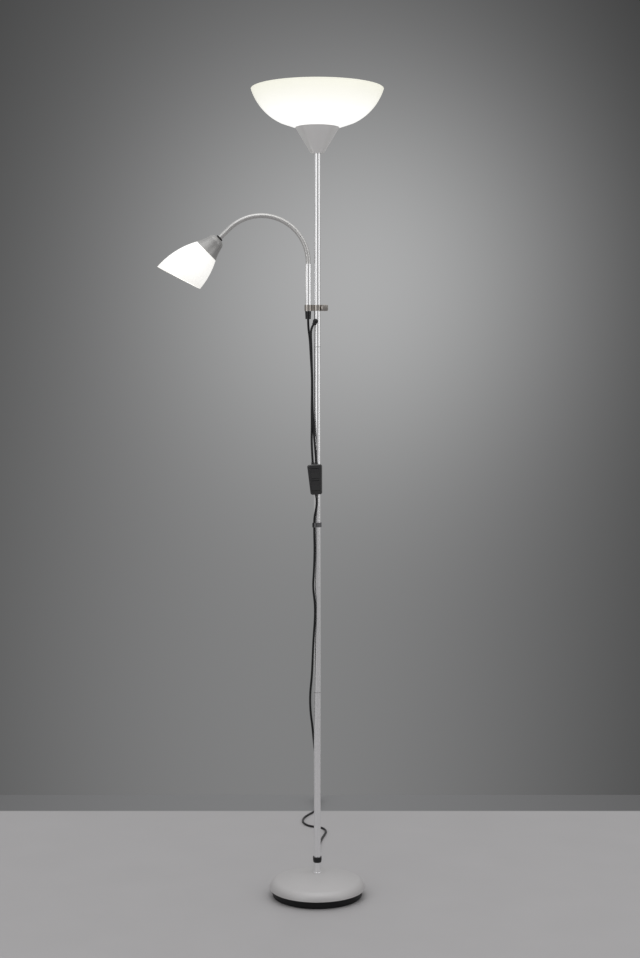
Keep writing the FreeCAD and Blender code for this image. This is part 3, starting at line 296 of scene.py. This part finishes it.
# %% [markdown]
# ## The wound neck
#
# The reading arm ends in a flexible neck: a flat steel wire wound into a hose, which keeps the
# bend it is given. A smooth pipe would be quicker, but up close the neck is a stack of narrow
# rounded coils. One coil is modelled and an Array lays it along the bend. The hose is cut at the
# six joints of the frame, so that each length rides on one link. Bending the lengths across the
# joints would look softer, but a length that follows two bodies can tear when the arm is turned
# too. So one coil is left out at each joint instead, and a ball inside closes the hose there.

# %% One coil of the neck
NECK_RADIUS = 5.5         # mm
COILS_PER_LENGTH = 26
BEND_CENTRE = metres((-124.5, 0, 1413))
BEND_RADIUS = 0.104
NECK_SWEEP = math.radians(134.2)
NECK_TAIL = 28.2          # mm, the straight end in the head
JOINTS_IN_NECK = 6
LENGTH_ANGLE = NECK_SWEEP / JOINTS_IN_NECK
COIL_PITCH = BEND_RADIUS * LENGTH_ANGLE / COILS_PER_LENGTH
COIL_PROFILE = (0.97, 0.993, 1.0, 0.993, 0.97)  # shares of the radius, from edge to edge

bpy.context.scene.cursor.location = BEND_CENTRE
nothing_selected()
bpy.ops.mesh.primitive_cylinder_add(
    vertices=36, radius=NECK_RADIUS * MM, depth=COIL_PITCH, end_fill_type="NOTHING",
    location=BEND_CENTRE + Vector((BEND_RADIUS, 0, COIL_PITCH / 2)))
coil = bpy.context.object
coil.name = "coil"
bpy.ops.object.origin_set(type="ORIGIN_CURSOR")
for edge in coil.data.edges:
    low, high = (coil.data.vertices[index].co.z for index in edge.vertices)
    edge.select = abs(high - low) > COIL_PITCH / 2
bpy.ops.object.mode_set(mode="EDIT")
bpy.ops.mesh.select_mode(type="EDGE")
bpy.ops.mesh.subdivide(number_cuts=len(COIL_PROFILE) - 2)
bpy.ops.object.mode_set(mode="OBJECT")
for vertex in coil.data.vertices:
    ring = round(vertex.co.z / COIL_PITCH * (len(COIL_PROFILE) - 1))
    vertex.co.x = BEND_RADIUS + (vertex.co.x - BEND_RADIUS) * COIL_PROFILE[ring]
    vertex.co.y *= COIL_PROFILE[ring]
print("a coil is %.2f mm high" % (COIL_PITCH / MM))


# %% Lengths of the neck
def wound(name, count, turn=None, step=None):
    """A row of coils, each one turned about the middle of the bend, or moved a step on."""
    row = another(coil, name)
    if turn is not None:
        bpy.ops.object.empty_add(location=BEND_CENTRE, rotation=(0, -turn, 0))
        guide = bpy.context.object
        only(row)
    bpy.ops.object.modifier_add(type="ARRAY")
    array = row.modifiers[-1]
    array.count = count
    array.use_relative_offset = False
    if turn is not None:
        array.use_object_offset = True
        array.offset_object = guide
    else:
        array.use_constant_offset = True
        array.constant_offset_displace = step
    array.use_merge_vertices = True
    array.merge_threshold = 0.25 * MM
    bpy.ops.object.modifier_apply(modifier=array.name)
    if turn is not None:
        bpy.data.objects.remove(guide)
    return row


def on_the_bend(angle):
    """A point on the middle line of the bend, at an angle from its start."""
    return BEND_CENTRE + Vector((math.cos(angle), 0, math.sin(angle))) * BEND_RADIUS


def turned_on_bend(piece, angle):
    """Turn a piece about the middle of the bend, and leave its place in its mesh."""
    about = (Matrix.Translation(BEND_CENTRE) @ Matrix.Rotation(-angle, 4, "Y")
             @ Matrix.Translation(-BEND_CENTRE))
    return place_mesh(piece, about)


NECK_BODIES = ["arm", "link_1", "link_2", "link_3", "link_4", "link_5", "head"]
NECK_NODES = ["neck_root"] + ["neck_link_%d" % (k + 1) for k in range(JOINTS_IN_NECK)]
COIL_ANGLE = LENGTH_ANGLE / COILS_PER_LENGTH
HALF_LENGTH = COILS_PER_LENGTH // 2
ROOT_COILS = 7            # straight down from the start of the bend
TAIL_COILS = round(NECK_TAIL * MM / COIL_PITCH)
BALL_RADIUS = 5.4         # mm, just inside the hose
STRAIGHT_ON = Vector((0, 0, COIL_PITCH))


def joint_angle(index):
    """Where on the bend a joint is, counted from the sleeve."""
    return (index + 0.5) * LENGTH_ANGLE


def ball_at(angle):
    """The ball inside the hose that keeps it closed where it bends over a joint."""
    nothing_selected()
    bpy.ops.mesh.primitive_uv_sphere_add(
        segments=36, ring_count=24, radius=BALL_RADIUS * MM, location=on_the_bend(angle))
    return place_mesh(bpy.context.object, Matrix.Identity(4))


neck_pieces = []
for index, (body, node) in enumerate(zip(NECK_BODIES, NECK_NODES)):
    first = index == 0
    last = index == JOINTS_IN_NECK
    start = 0 if first else joint_angle(index - 1)
    places = HALF_LENGTH if first or last else COILS_PER_LENGTH
    count = places if last else places - 1
    parts = [turned_on_bend(wound("bent", count, turn=COIL_ANGLE), start)]
    if first:
        root = turned_on_bend(wound("root", ROOT_COILS, step=-STRAIGHT_ON), 0)
        parts.append(place_mesh(root, Matrix.Translation(-STRAIGHT_ON)))
    if last:
        tail = wound("tail", TAIL_COILS, step=STRAIGHT_ON)
        parts.append(turned_on_bend(tail, NECK_SWEEP))
    else:
        parts.append(ball_at(joint_angle(index)))
    piece = smooth(joined("neck_hose_%d" % index, parts), 60)
    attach(piece, body)
    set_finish(piece, "flex_metal")
    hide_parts(node)
    neck_pieces.append(piece)
bpy.data.objects.remove(coil)
print("neck of", len(neck_pieces), "pieces,",
      sum(len(piece.data.polygons) for piece in neck_pieces), "faces")

# %% [markdown]
# ## Bulbs
#
# The uplight holds a globe bulb and the reading head a small one. A ball on a stick would do from
# the front, but the bowl is open at the top. The outline here has the rolled screw thread, the
# narrow neck and the round globe, and is spun like the real glass.


# %% Bulb outlines
CONTACT_HEIGHT = 2.5      # mm, from the foot up to the thread, and left free above it
THREAD_TURNS = 4
THREAD_ROOT = 0.93        # shares of the cap's radius
THREAD_CREST = 0.985
CAP_EDGE = 0.97
CAP_EDGE_HEIGHT = 1.5     # mm, the plain edge of the cap, under the glass
SHOULDER = math.radians(-42)  # where the neck of the glass meets the globe
GLOBE_STEPS = 16


def bulb_outline(base, cap_radius, mouth, globe_radius, end):
    """Half an outline of a bulb, from the contact at its foot, over its thread, to its crown."""
    outline = [(0, base), (cap_radius * 0.3, base), (cap_radius * 0.7, base + CONTACT_HEIGHT)]
    pitch = (mouth - base - 2 * CONTACT_HEIGHT) / THREAD_TURNS
    for turn in range(THREAD_TURNS):
        low = base + CONTACT_HEIGHT + turn * pitch
        outline += [(cap_radius * THREAD_ROOT, low + pitch * 0.1),
                    (cap_radius * THREAD_CREST, low + pitch * 0.3),
                    (cap_radius * THREAD_CREST, low + pitch * 0.7),
                    (cap_radius * THREAD_ROOT, low + pitch * 0.9)]
    outline.append((cap_radius * CAP_EDGE, mouth - CAP_EDGE_HEIGHT))
    centre = end - globe_radius
    join = (globe_radius * math.cos(SHOULDER), centre + globe_radius * math.sin(SHOULDER))
    corner = (cap_radius * 1.02, join[1] - globe_radius * 0.22)
    outline += bend_of_points((cap_radius * CAP_EDGE, mouth), corner, join)
    for step in range(1, GLOBE_STEPS + 1):
        angle = SHOULDER + (math.pi / 2 - SHOULDER) * step / GLOBE_STEPS
        radius = globe_radius * math.cos(angle) if step < GLOBE_STEPS else 0
        outline.append((radius, centre + globe_radius * math.sin(angle)))
    return outline


# %% Globe bulb in the bowl
GLOBE_RADIUS = 30         # mm
GLOBE_CAP_RADIUS = 13.2
GLOBE_MOUTH = 1718.5      # above the floor, where its glass leaves the cap
bulb_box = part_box("uplight_bulb")
globe_outline = bulb_outline(
    bulb_box[0].z / MM, GLOBE_CAP_RADIUS, GLOBE_MOUTH, GLOBE_RADIUS, bulb_box[1].z / MM)
uplight_glass = spun("uplight_glass", globe_outline, 56, 35)
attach(uplight_glass, "root")
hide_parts("uplight_bulb")
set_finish(uplight_glass, "bulb")
print("globe bulb from %.3f to %.3f m" % (bulb_box[0].z, bulb_box[1].z))

# %% Small bulb in the reading head
SMALL_RADIUS = 20         # mm
SMALL_CAP_RADIUS = 6.9
SMALL_FOOT = 34.3         # along the head's axis, from the end of the neck
SMALL_MOUTH = 55.5
SMALL_END = 108
HEAD_START = on_the_bend(NECK_SWEEP)
HEAD_AXIS = Vector((-math.sin(NECK_SWEEP), 0, math.cos(NECK_SWEEP)))
HEAD_PLACE = (Matrix.Translation(HEAD_START + HEAD_AXIS * NECK_TAIL * MM)
              @ Matrix.Rotation(-NECK_SWEEP, 4, "Y"))
small_outline = bulb_outline(SMALL_FOOT, SMALL_CAP_RADIUS, SMALL_MOUTH, SMALL_RADIUS, SMALL_END)
reading_glass = spun("reading_glass", small_outline, 48, 35)
place_mesh(reading_glass, HEAD_PLACE)
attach(reading_glass, "head")
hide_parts("head_bulb")
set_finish(reading_glass, "bulb")
print("the head points along %.2f %.2f %.2f" % tuple(HEAD_AXIS))

# %% [markdown]
# ## Strain reliefs
#
# Where a cord enters the switch, a short soft sleeve keeps it from kinking. The real ones have
# moulded rings, so that they bend by turns and not in one place. Their stepped outline is spun
# once for each length, and each copy is hung out of plumb with the switch.


# %% Ringed sleeves on the switch
SLEEVE_HOLE = 2.45        # mm, radius
SLEEVE_FOOT = 4.15
SLEEVE_END = 3.2
GROOVE_DEPTH = 0.45
END_BEVEL = 0.2


def ringed_outline(length, rings):
    """Half an outline of a tapered sleeve with grooves between its rings."""
    outline = [(SLEEVE_HOLE, 0), (SLEEVE_FOOT, 0)]
    pitch = length / rings
    for index in range(rings):
        low = index * pitch
        radius = SLEEVE_FOOT + (SLEEVE_END - SLEEVE_FOOT) * (index + 0.5) / rings
        groove = radius - GROOVE_DEPTH
        outline += [(radius, low + pitch * 0.12), (radius, low + pitch * 0.62),
                    (groove, low + pitch * 0.74), (groove, low + pitch * 0.98)]
    outline += [(SLEEVE_END - END_BEVEL, length), (SLEEVE_HOLE, length)]
    return outline


SWITCH_CENTRE = Vector((-4.0, -18.2, 929.4))
SWITCH_TILT = math.radians(3.6)
HANG = Matrix.Translation(SWITCH_CENTRE * MM) @ Matrix.Rotation(-SWITCH_TILT, 4, "Y")
HALF_SWITCH = 67.3 / 2
TOP, BOTTOM = 1, -1
SLEEVES = [(-3.8, TOP, 5.3, 3), (3.8, TOP, 5.3, 3), (0, BOTTOM, 7.4, 4)]
sleeves = []
for across, side, length, rings in SLEEVES:
    sleeve = spun("sleeve", ringed_outline(length, rings), 32)
    foot = Matrix.Translation(Vector((across, 0, side * HALF_SWITCH)) * MM)
    if side == BOTTOM:
        foot = foot @ Matrix.Rotation(math.pi, 4, "X")
    sleeves.append(place_mesh(sleeve, HANG @ foot))
switch_sleeves = joined("switch_sleeves", sleeves)
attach(switch_sleeves, "root")
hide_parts("switch_reliefs")
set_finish(switch_sleeves, "switch_plastic")
sleeve_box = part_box("switch_reliefs")
print("switch sleeves at %.3f and %.3f m" % (sleeve_box[0].z, sleeve_box[1].z))

# %% [markdown]
# ## Joints of the pole
#
# The pole is four tubes screwed end to end. The drawing's tubes meet without a line, but on the
# real lamp a fine dark gap shows at each joint. A narrow band, hardly proud of the tube, gives
# that line a real edge to catch the light; its dark colour is painted shade, standing in for the
# shade in the gap.

# %% Seams between the tubes
POLE_RADIUS = 7.5         # mm
SEAM_HEIGHTS = (453, 827, 1224)
SEAM_HALF = 0.35          # half the height of a band
SEAM_FLAT = 0.2           # half the height between its bevels
SEAM_INSIDE = POLE_RADIUS - 0.1
SEAM_OUTSIDE = POLE_RADIUS + 0.06
SEAM_BEVEL = SEAM_OUTSIDE - 0.03
seams = []
for height in SEAM_HEIGHTS:
    low, high = height - SEAM_HALF, height + SEAM_HALF
    band = [(SEAM_INSIDE, low), (SEAM_BEVEL, low), (SEAM_OUTSIDE, height - SEAM_FLAT),
            (SEAM_OUTSIDE, height + SEAM_FLAT), (SEAM_BEVEL, high), (SEAM_INSIDE, high),
            (SEAM_INSIDE, low)]
    seams.append(spun("seam", band, 64))
pole_seams = joined("pole_seams", seams)
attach(pole_seams, "root")
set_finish(pole_seams, "steel")
print("seams:", len(seams))

# %% [markdown]
# ## Finishes
#
# Each finish is a small set of shader nodes. Arithmetic on them is easier to read as Python than
# as a wall of Math nodes, so one class wraps a socket and lets it be added and multiplied, and
# one method makes every other node.


# %% Arithmetic on sockets
class Reading:
    """One output socket. Sums and products of readings add their own Math nodes."""

    def __init__(self, finish, socket):
        self.finish, self.socket = finish, socket

    def math(self, operation, *values):
        return self.finish.node("Math", {"operation": operation}, dict(enumerate(values)))

    def __add__(self, other):
        return self.math("ADD", self, other)

    def __sub__(self, other):
        return self.math("SUBTRACT", self, other)

    def __mul__(self, other):
        return self.math("MULTIPLY", self, other)

    def __truediv__(self, other):
        return self.math("DIVIDE", self, other)

    def __rsub__(self, other):
        return self.math("SUBTRACT", other, self)

    __radd__ = __add__
    __rmul__ = __mul__

    def clamped(self):
        """The reading, kept between 0 and 1."""
        return self.math("MINIMUM", self.math("MAXIMUM", self, 0.0), 1.0)


# %% A finish
class Finish:
    """A material: its Principled shader, and the nodes that feed it."""

    def __init__(self, name, **values):
        self.material = bpy.data.materials.new(name)
        self.material.use_nodes = True
        self.tree = self.material.node_tree
        self.shader = next(n for n in self.tree.nodes if n.type == "BSDF_PRINCIPLED")
        self.set(**values)
        self.here = self.node("TexCoord", out="Object")

    def feed(self, socket, value):
        if isinstance(value, Reading):
            self.tree.links.new(value.socket, socket)
        elif socket.type == "RGBA" and len(value) == 3:
            socket.default_value = (*value, 1)
        else:
            socket.default_value = value

    def set(self, **values):
        """Give the shader's sockets values or readings."""
        for name, value in values.items():
            self.feed(self.shader.inputs[name.replace("_", " ")], value)

    def node(self, kind, settings=None, values=None, out=0):
        """Any node: its type, its settings, its sockets' values or links, and which output."""
        made = self.tree.nodes.new("ShaderNode" + kind)
        for key, value in (settings or {}).items():
            setattr(made, key, value)
        for key, value in (values or {}).items():
            self.feed(made.inputs[key], value)
        return Reading(self, made.outputs[out])

    def stretched(self, scale):
        """Object coordinates, stretched by a scale along each axis."""
        return self.node("Mapping", None, {"Vector": self.here, "Scale": scale})

    def noise(self, scale, detail=2.0, at=None):
        """Clouds of a scale, on Object coordinates or on others."""
        values = {"Vector": at or self.here, "Scale": scale, "Detail": detail}
        return self.node("TexNoise", None, values)

    def cells(self, scale):
        """Distance to the middle of the nearest cell."""
        return self.node("TexVoronoi", None, {"Vector": self.here, "Scale": scale}, out="Distance")

    def axis(self, letter):
        """One coordinate on its own."""
        return self.node("SeparateXYZ", None, {0: self.here}, out=letter)

    def mix(self, share, first, second):
        """One colour turning into another. A Mix node has its colours at sockets 6 and 7."""
        return self.node("Mix", {"data_type": "RGBA"}, {0: share, 6: first, 7: second}, out=2)

    def between(self, value, low, high, settings=None):
        """0 up to a low value, 1 from a high one on, and a slope in between."""
        return self.node("MapRange", settings, {0: value, 1: low, 2: high})

    def bump(self, height, strength, distance):
        """Relief of a height in metres, as strong as it needs."""
        self.set(Normal=self.node("Bump", None, {"Height": height, "Strength": strength,
                                                 "Distance": distance}))

    def from_point(self, point, scale=(1, 1, 1)):
        """Distance from a point, in metres."""
        moved = self.node("VectorMath", {"operation": "SUBTRACT"}, {0: self.here, 1: tuple(point)})
        scaled = self.node("VectorMath", {"operation": "MULTIPLY"}, {0: moved, 1: scale})
        return self.node("VectorMath", {"operation": "LENGTH"}, {0: scaled}, out="Value")


# %% [markdown]
# ### Metals
#
# The pole is drawn steel tube with satin chrome: its grain runs along it, so highlights spread
# sideways. The cone, the foot and the bell of the head are lacquered silver with a soft, even
# sheen. The clamp is polished nickel, a little warmer than the rest.

# %% Satin chrome tube
satin_chrome = Finish("satin_chrome", Metallic=1.0)
grain = satin_chrome.noise(1.0, 3.0, satin_chrome.stretched((3600, 3600, 9)))
patches = satin_chrome.noise(7.0, 2.0)
satin_chrome.set(
    Base_Color=satin_chrome.mix(grain, (0.9, 0.9, 0.91), (0.97, 0.97, 0.98)),
    Roughness=grain * 0.02 + patches * 0.03 + 0.21)
print("satin chrome has", len(satin_chrome.tree.nodes), "nodes")


# %% Silver lacquer
def silver_lacquer(name, colour, metallic, roughness):
    """Fine flakes under a clear coat, with a slight cloudiness."""
    finish = Finish(name, Metallic=metallic, Coat_Roughness=0.25)
    flakes = finish.noise(2600.0, 2.0)
    clouds = finish.noise(24.0, 3.0)
    dark = tuple(channel * 0.9 for channel in colour)
    finish.set(
        Base_Color=finish.mix(flakes, dark, colour),
        Roughness=flakes * 0.08 + clouds * 0.08 + (roughness - 0.08),
        Coat_Weight=clouds * 0.1 + 0.1)
    finish.bump(flakes, strength=0.06, distance=0.00002)
    return finish


cone_silver = silver_lacquer("cone_silver", (0.93, 0.925, 0.915), metallic=0.6, roughness=0.3)
foot_silver = silver_lacquer("foot_silver", (0.47, 0.46, 0.46), metallic=0.3, roughness=0.5)
bell_silver = silver_lacquer("bell_silver", (0.36, 0.357, 0.35), metallic=0.5, roughness=0.42)

# %% Polished nickel
clamp_nickel = Finish("clamp_nickel", Metallic=1.0)
smears = clamp_nickel.noise(160.0, 4.0)
scratches = clamp_nickel.noise(1.0, 2.0, clamp_nickel.stretched((300, 300, 2600)))
clamp_nickel.set(
    Base_Color=clamp_nickel.mix(smears, (0.36, 0.335, 0.31), (0.47, 0.44, 0.41)),
    Roughness=smears * 0.08 + scratches * 0.05 + 0.1)
clamp_nickel.bump(scratches, strength=0.08, distance=0.00003)

# %% Nickel of the wound neck
neck_nickel = Finish("neck_nickel", Metallic=1.0)
wear = neck_nickel.noise(90.0, 3.0)
drawn = neck_nickel.noise(1500.0, 2.0)
neck_nickel.set(
    Base_Color=neck_nickel.mix(wear, (0.58, 0.575, 0.565), (0.66, 0.655, 0.645)),
    Roughness=drawn * 0.06 + wear * 0.06 + 0.3)
neck_nickel.bump(drawn, strength=0.05, distance=0.00001)

# %% Zinc-plated steel
zinc_steel = Finish("zinc_steel", Metallic=1.0)
spangle = zinc_steel.cells(420.0)
zinc_steel.set(
    Base_Color=zinc_steel.mix(spangle, (0.5, 0.5, 0.48), (0.66, 0.66, 0.63)),
    Roughness=spangle * 0.2 + 0.28)
zinc_steel.bump(spangle, strength=0.1, distance=0.00005)

# %% Joint line: painted shade of the gap between the tubes
seam_painted_shade = Finish("seam_painted_shade", Metallic=0.8)
seam_shade_mottle = seam_painted_shade.noise(900.0)
seam_painted_shade.set(Base_Color=seam_painted_shade.mix(seam_shade_mottle, (0.04, 0.04, 0.042), (0.1, 0.1, 0.1)),
              Roughness=seam_shade_mottle * 0.2 + 0.35)

# %% Cast iron
cast_iron = Finish("cast_iron", Metallic=0.35)
sand = cast_iron.noise(380.0, 5.0)
pits = cast_iron.cells(260.0)
cast_iron.set(Base_Color=cast_iron.mix(sand, (0.07, 0.068, 0.065), (0.16, 0.155, 0.15)),
              Roughness=sand * 0.2 + 0.65)
cast_iron.bump(sand * 0.7 + pits * 0.3, strength=0.5, distance=0.0004)

# %% Bright pin metal
pin_bright = Finish("pin_bright", Metallic=1.0)
pin_marks = pin_bright.noise(1.0, 2.0, pin_bright.stretched((2200, 90, 2200)))
pin_bright.set(Base_Color=pin_bright.mix(pin_marks, (0.66, 0.63, 0.56), (0.78, 0.75, 0.69)),
               Roughness=pin_marks * 0.12 + 0.12)
pin_bright.bump(pin_marks, strength=0.08, distance=0.00002)

# %% [markdown]
# ### Plastics and rubber
#
# The collar, the gland, the grommet and the switch are black moulded plastic. Even a glossy
# moulding is never quite flat, so its coat gets a faint ripple. The cords are softer and duller,
# the tray has a moulded grain, and the pads under it are foam.


# %% Moulded plastic
def moulded(name, dark, light, roughness, gloss, grain_scale, depth):
    """Plastic with a mould's grain, faint handling marks and a coat as glossy as it needs."""
    finish = Finish(name, Coat_Weight=gloss, Coat_Roughness=0.06, Specular_IOR_Level=0.22)
    leather = finish.noise(grain_scale, 3.0)
    handling = finish.noise(42.0, 3.0)
    finish.set(Base_Color=finish.mix(handling, dark, light),
               Roughness=handling * 0.1 + leather * 0.06 + (roughness - 0.08))
    finish.bump(leather, strength=0.25, distance=depth)
    return finish


SOFT_BLACK = {"dark": (0.006, 0.006, 0.007), "light": (0.012, 0.012, 0.013)}

gloss_black = moulded("gloss_black", (0.005, 0.005, 0.006), (0.01, 0.01, 0.011),
                      roughness=0.2, gloss=0.3, grain_scale=700.0, depth=0.00003)
switch_black = moulded("switch_black", (0.003, 0.003, 0.004), (0.006, 0.006, 0.007),
                       roughness=0.14, gloss=1.0, grain_scale=260.0, depth=0.00001)
switch_black.set(Coat_IOR=1.6)
clip_grey = moulded("clip_grey", (0.09, 0.09, 0.095), (0.15, 0.15, 0.155),
                    roughness=0.42, gloss=0.05, grain_scale=1500.0, depth=0.00006)
tray_black = moulded("tray_black", **SOFT_BLACK,
                     roughness=0.5, gloss=0.0, grain_scale=1200.0, depth=0.00015)
cord_black = moulded("cord_black", **SOFT_BLACK,
                     roughness=0.42, gloss=0.05, grain_scale=900.0, depth=0.00004)
holder_white = moulded("holder_white", (0.62, 0.61, 0.58), (0.72, 0.71, 0.68),
                       roughness=0.35, gloss=0.2, grain_scale=900.0, depth=0.00004)

# %% Foam pads
foam_black = Finish("foam_black", Roughness=0.95)
bubbles = foam_black.cells(1500.0)
foam_black.set(Base_Color=foam_black.mix(bubbles, (0.02, 0.02, 0.02), (0.06, 0.06, 0.06)))
foam_black.bump(bubbles, strength=0.6, distance=0.0003)

# %% [markdown]
# ### Opal shades and bulbs
#
# Both shades are lit from inside. The plastic itself glows, brightest near the bulb, so the
# glow is put on the shade's own surface and falls off with the distance from the bulb. Real
# translucency would need a strong lamp inside, which would burn out the rest of the picture.


# %% Opal plastic
def opal(name, bulb_at, near, far, glow, tint_near, tint_far):
    """White plastic that glows less, and a little warmer, further away from its bulb."""
    finish = Finish(name, IOR=1.49, Coat_Weight=0.12, Coat_Roughness=0.12, Emission_Strength=glow)
    distance = finish.from_point(bulb_at)
    fall = ((distance - near) / (far - near)).clamped()
    haze = finish.noise(34.0, 3.0)
    finish.set(
        Base_Color=finish.mix(haze, (0.8, 0.8, 0.79), (0.86, 0.86, 0.85)),
        Roughness=haze * 0.08 + 0.3,
        Emission_Color=finish.mix(fall, tint_near, tint_far))
    finish.bump(haze, strength=0.05, distance=0.0002)
    return finish


GLOBE_AT = (0, 0, 1.735)
SMALL_BULB_AT = HEAD_PLACE @ Vector((0, 0, 0.088))
bowl_opal = opal("bowl_opal", GLOBE_AT, near=0.105, far=0.17, glow=0.75,
                 tint_near=(1.0, 0.995, 0.97), tint_far=(0.58, 0.57, 0.41))
shade_opal = opal("shade_opal", SMALL_BULB_AT, near=0.04, far=0.085, glow=0.6,
                  tint_near=(1.0, 0.99, 0.95), tint_far=(0.7, 0.66, 0.58))

# %% Opal glass
bulb_opal = Finish("bulb_opal", IOR=1.5, Coat_Weight=0.4, Coat_Roughness=0.03,
                   Emission_Strength=0.9)
smoke = bulb_opal.noise(60.0, 2.0)
bulb_opal.set(Base_Color=bulb_opal.mix(smoke, (0.86, 0.86, 0.84), (0.9, 0.9, 0.88)),
              Emission_Color=bulb_opal.mix(smoke, (1.0, 0.93, 0.8), (1.0, 0.96, 0.86)),
              Roughness=smoke * 0.05 + 0.2)

# %% Every piece gets its finish
FINISH_OF_SLOT = {
    "foam": foam_black, "tray": tray_black, "iron": cast_iron, "foot_metal": foot_silver,
    "steel": zinc_steel, "satin_chrome": satin_chrome, "satin_metal": cone_silver,
    "nickel": clamp_nickel, "black_plastic": gloss_black, "grey_plastic": clip_grey,
    "flex_metal": neck_nickel, "opal": bowl_opal, "bulb": bulb_opal,
    "switch_plastic": switch_black, "pin_metal": pin_bright, "cord": cord_black}
FINISH_OF_PIECE = {"head_cap": bell_silver, "head_shade": shade_opal, "pole_seams": seam_painted_shade,
                   "uplight_holder": holder_white, "head_socket": holder_white}


def dress(piece, finish):
    """Put a finish on a piece, in place of whatever it has."""
    if not piece.material_slots:
        piece.data.materials.append(finish.material)
    for held in piece.material_slots:
        held.material = finish.material


for name, node in frame["nodes"].items():
    dress(node, FINISH_OF_PIECE.get(name) or FINISH_OF_SLOT[SLOT_OF[name]])
for piece in [*cords, *neck_pieces, uplight_glass, reading_glass, switch_sleeves, pole_seams]:
    dress(piece, FINISH_OF_PIECE.get(piece.name) or FINISH_OF_SLOT[piece["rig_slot"]])
print("dressed", len(frame["nodes"]), "nodes")

# %% [markdown]
# ## Floor and backdrop
#
# The lamp stands on a plain pale sheet that ends behind it. The end of the lead still lies on the
# darker ground beyond that edge, which carries a painted pool of light: brighter behind the pole
# and darker to either side. Behind the ground is a plain grey wall. A real wall would stand
# in the way of a camera that looks from behind, so the wall is only the tone that the world has
# in that direction: two soft pools of light, a bright one behind the neck and a wide one below.

# %% The floor
SHEET_END = 0.703         # metres behind the pole
SHEET_EDGE = 0.004        # half the width of its soft edge
FLOOR_END = 0.87
FLOOR_REACH = 12.0
nothing_selected()
bpy.ops.mesh.primitive_plane_add(size=1, location=(0, FLOOR_END - FLOOR_REACH / 2, 0))
floor = bpy.context.object
floor.name = "floor"
floor.scale = (FLOOR_REACH, FLOOR_REACH, 1)
bpy.ops.object.transform_apply(location=True, rotation=True, scale=True)
floor_paint = Finish("floor_paint", Roughness=0.6)
dust = floor_paint.noise(6.0, 3.0)
sheet = floor_paint.mix(dust, (0.35, 0.342, 0.346), (0.38, 0.372, 0.376))
# Beyond the sheet, a painted pool of light: the ground is brightest 0.1 m left of the pole and
# darker to either side.
aside = floor_paint.from_point((-0.1, 0, 0), (1, 0, 0))
fade = aside * aside * -1.0
ground_with_painted_pool = floor_paint.mix(fade.math("EXPONENT", fade), (0.03, 0.03, 0.031), (0.185, 0.187, 0.19))
beyond = floor_paint.between(floor_paint.axis("Y"), SHEET_END - SHEET_EDGE, SHEET_END + SHEET_EDGE)
floor_paint.set(Base_Color=floor_paint.mix(beyond, sheet, ground_with_painted_pool))
dress(floor, floor_paint)
print("floor ends %.2f m behind the lamp" % FLOOR_END)

# %% [markdown]
# ## Light
#
# Two tall soft boxes stand left and right in front of the lamp, above knee height. They draw the
# two bright stripes on the upper part of the round pole with a thin dark line between them, and
# leave its lower part plain, as in the photograph. A third one looks down from above. The room's
# own even light does the rest, so that a colour comes out about as it was mixed.


# %% Soft boxes
def soft_box(name, at, aim, size, power):
    """A rectangular lamp at a place, turned towards a point."""
    bpy.ops.object.light_add(type="AREA", location=at)
    box = bpy.context.object
    box.name = name
    box.data.shape = "RECTANGLE"
    box.data.size, box.data.size_y = size
    box.data.energy = power
    box.rotation_euler = (Vector(aim) - Vector(at)).to_track_quat("-Z", "Y").to_euler()


LEVEL_AIM = (0, 0, 1.85)
LOW_AIM = (0, 0, 0.6)
soft_box("left_box", (-1.98, -2.2, 1.85), aim=LEVEL_AIM, size=(1.5, 2.2), power=12)
soft_box("right_box", (2.7, -1.25, 1.85), aim=LEVEL_AIM, size=(1.4, 2.2), power=11)
soft_box("top_box", (0.2, -0.8, 3.4), aim=LOW_AIM, size=(2.4, 2.4), power=14)

# %% The room's light, and the wall's tone
world = bpy.data.worlds.new("room")
bpy.context.scene.world = world
world.use_nodes = True


class Room(Finish):
    """The world's nodes, made the way a finish's are."""

    def __init__(self, world):
        self.tree = world.node_tree
        self.shader = self.tree.nodes["Background"]
        self.here = self.node("TexCoord", out="Generated")


room = Room(world)
along, across, up = (room.axis(letter) for letter in "YXZ")
ahead = along.math("MAXIMUM", along, 0.05)
u, v = across / ahead, up / ahead


def pool_of_light(middle, spread, strength):
    """A soft pool on the wall: its middle and its spread, both as slopes seen from the camera."""
    off_u = (u - middle[0]) / spread[0]
    off_v = (v - middle[1]) / spread[1]
    fade = 0.0 - off_u * off_u - off_v * off_v
    return fade.math("EXPONENT", fade) * strength


WALL_DARK = 0.011         # the wall away from both pools
bright_pool = pool_of_light((0.029, 0.066), spread=(0.1245, 0.1243), strength=0.25)
wide_pool = pool_of_light((-0.024, -0.2), spread=(0.23, 0.528), strength=0.2)
wall = bright_pool + wide_pool + WALL_DARK
wall_tone = room.mix(wall, (0.0, 0.0, 0.0), (1.0, 1.005, 1.01))
facing = room.between(along, 0.55, 0.85, {"interpolation_type": "SMOOTHSTEP"})
seen = room.node("LightPath", out="Is Camera Ray")
overhead = up.math("MAXIMUM", up, 0.0)
ambient = room.mix(overhead * overhead, (0.37, 0.368, 0.366), (1.15, 1.15, 1.16))
backdrop = room.mix(facing, (0.3, 0.3, 0.302), wall_tone)
room.set(Color=room.mix(seen, ambient, backdrop))
bpy.context.scene.view_settings.view_transform = "Standard"
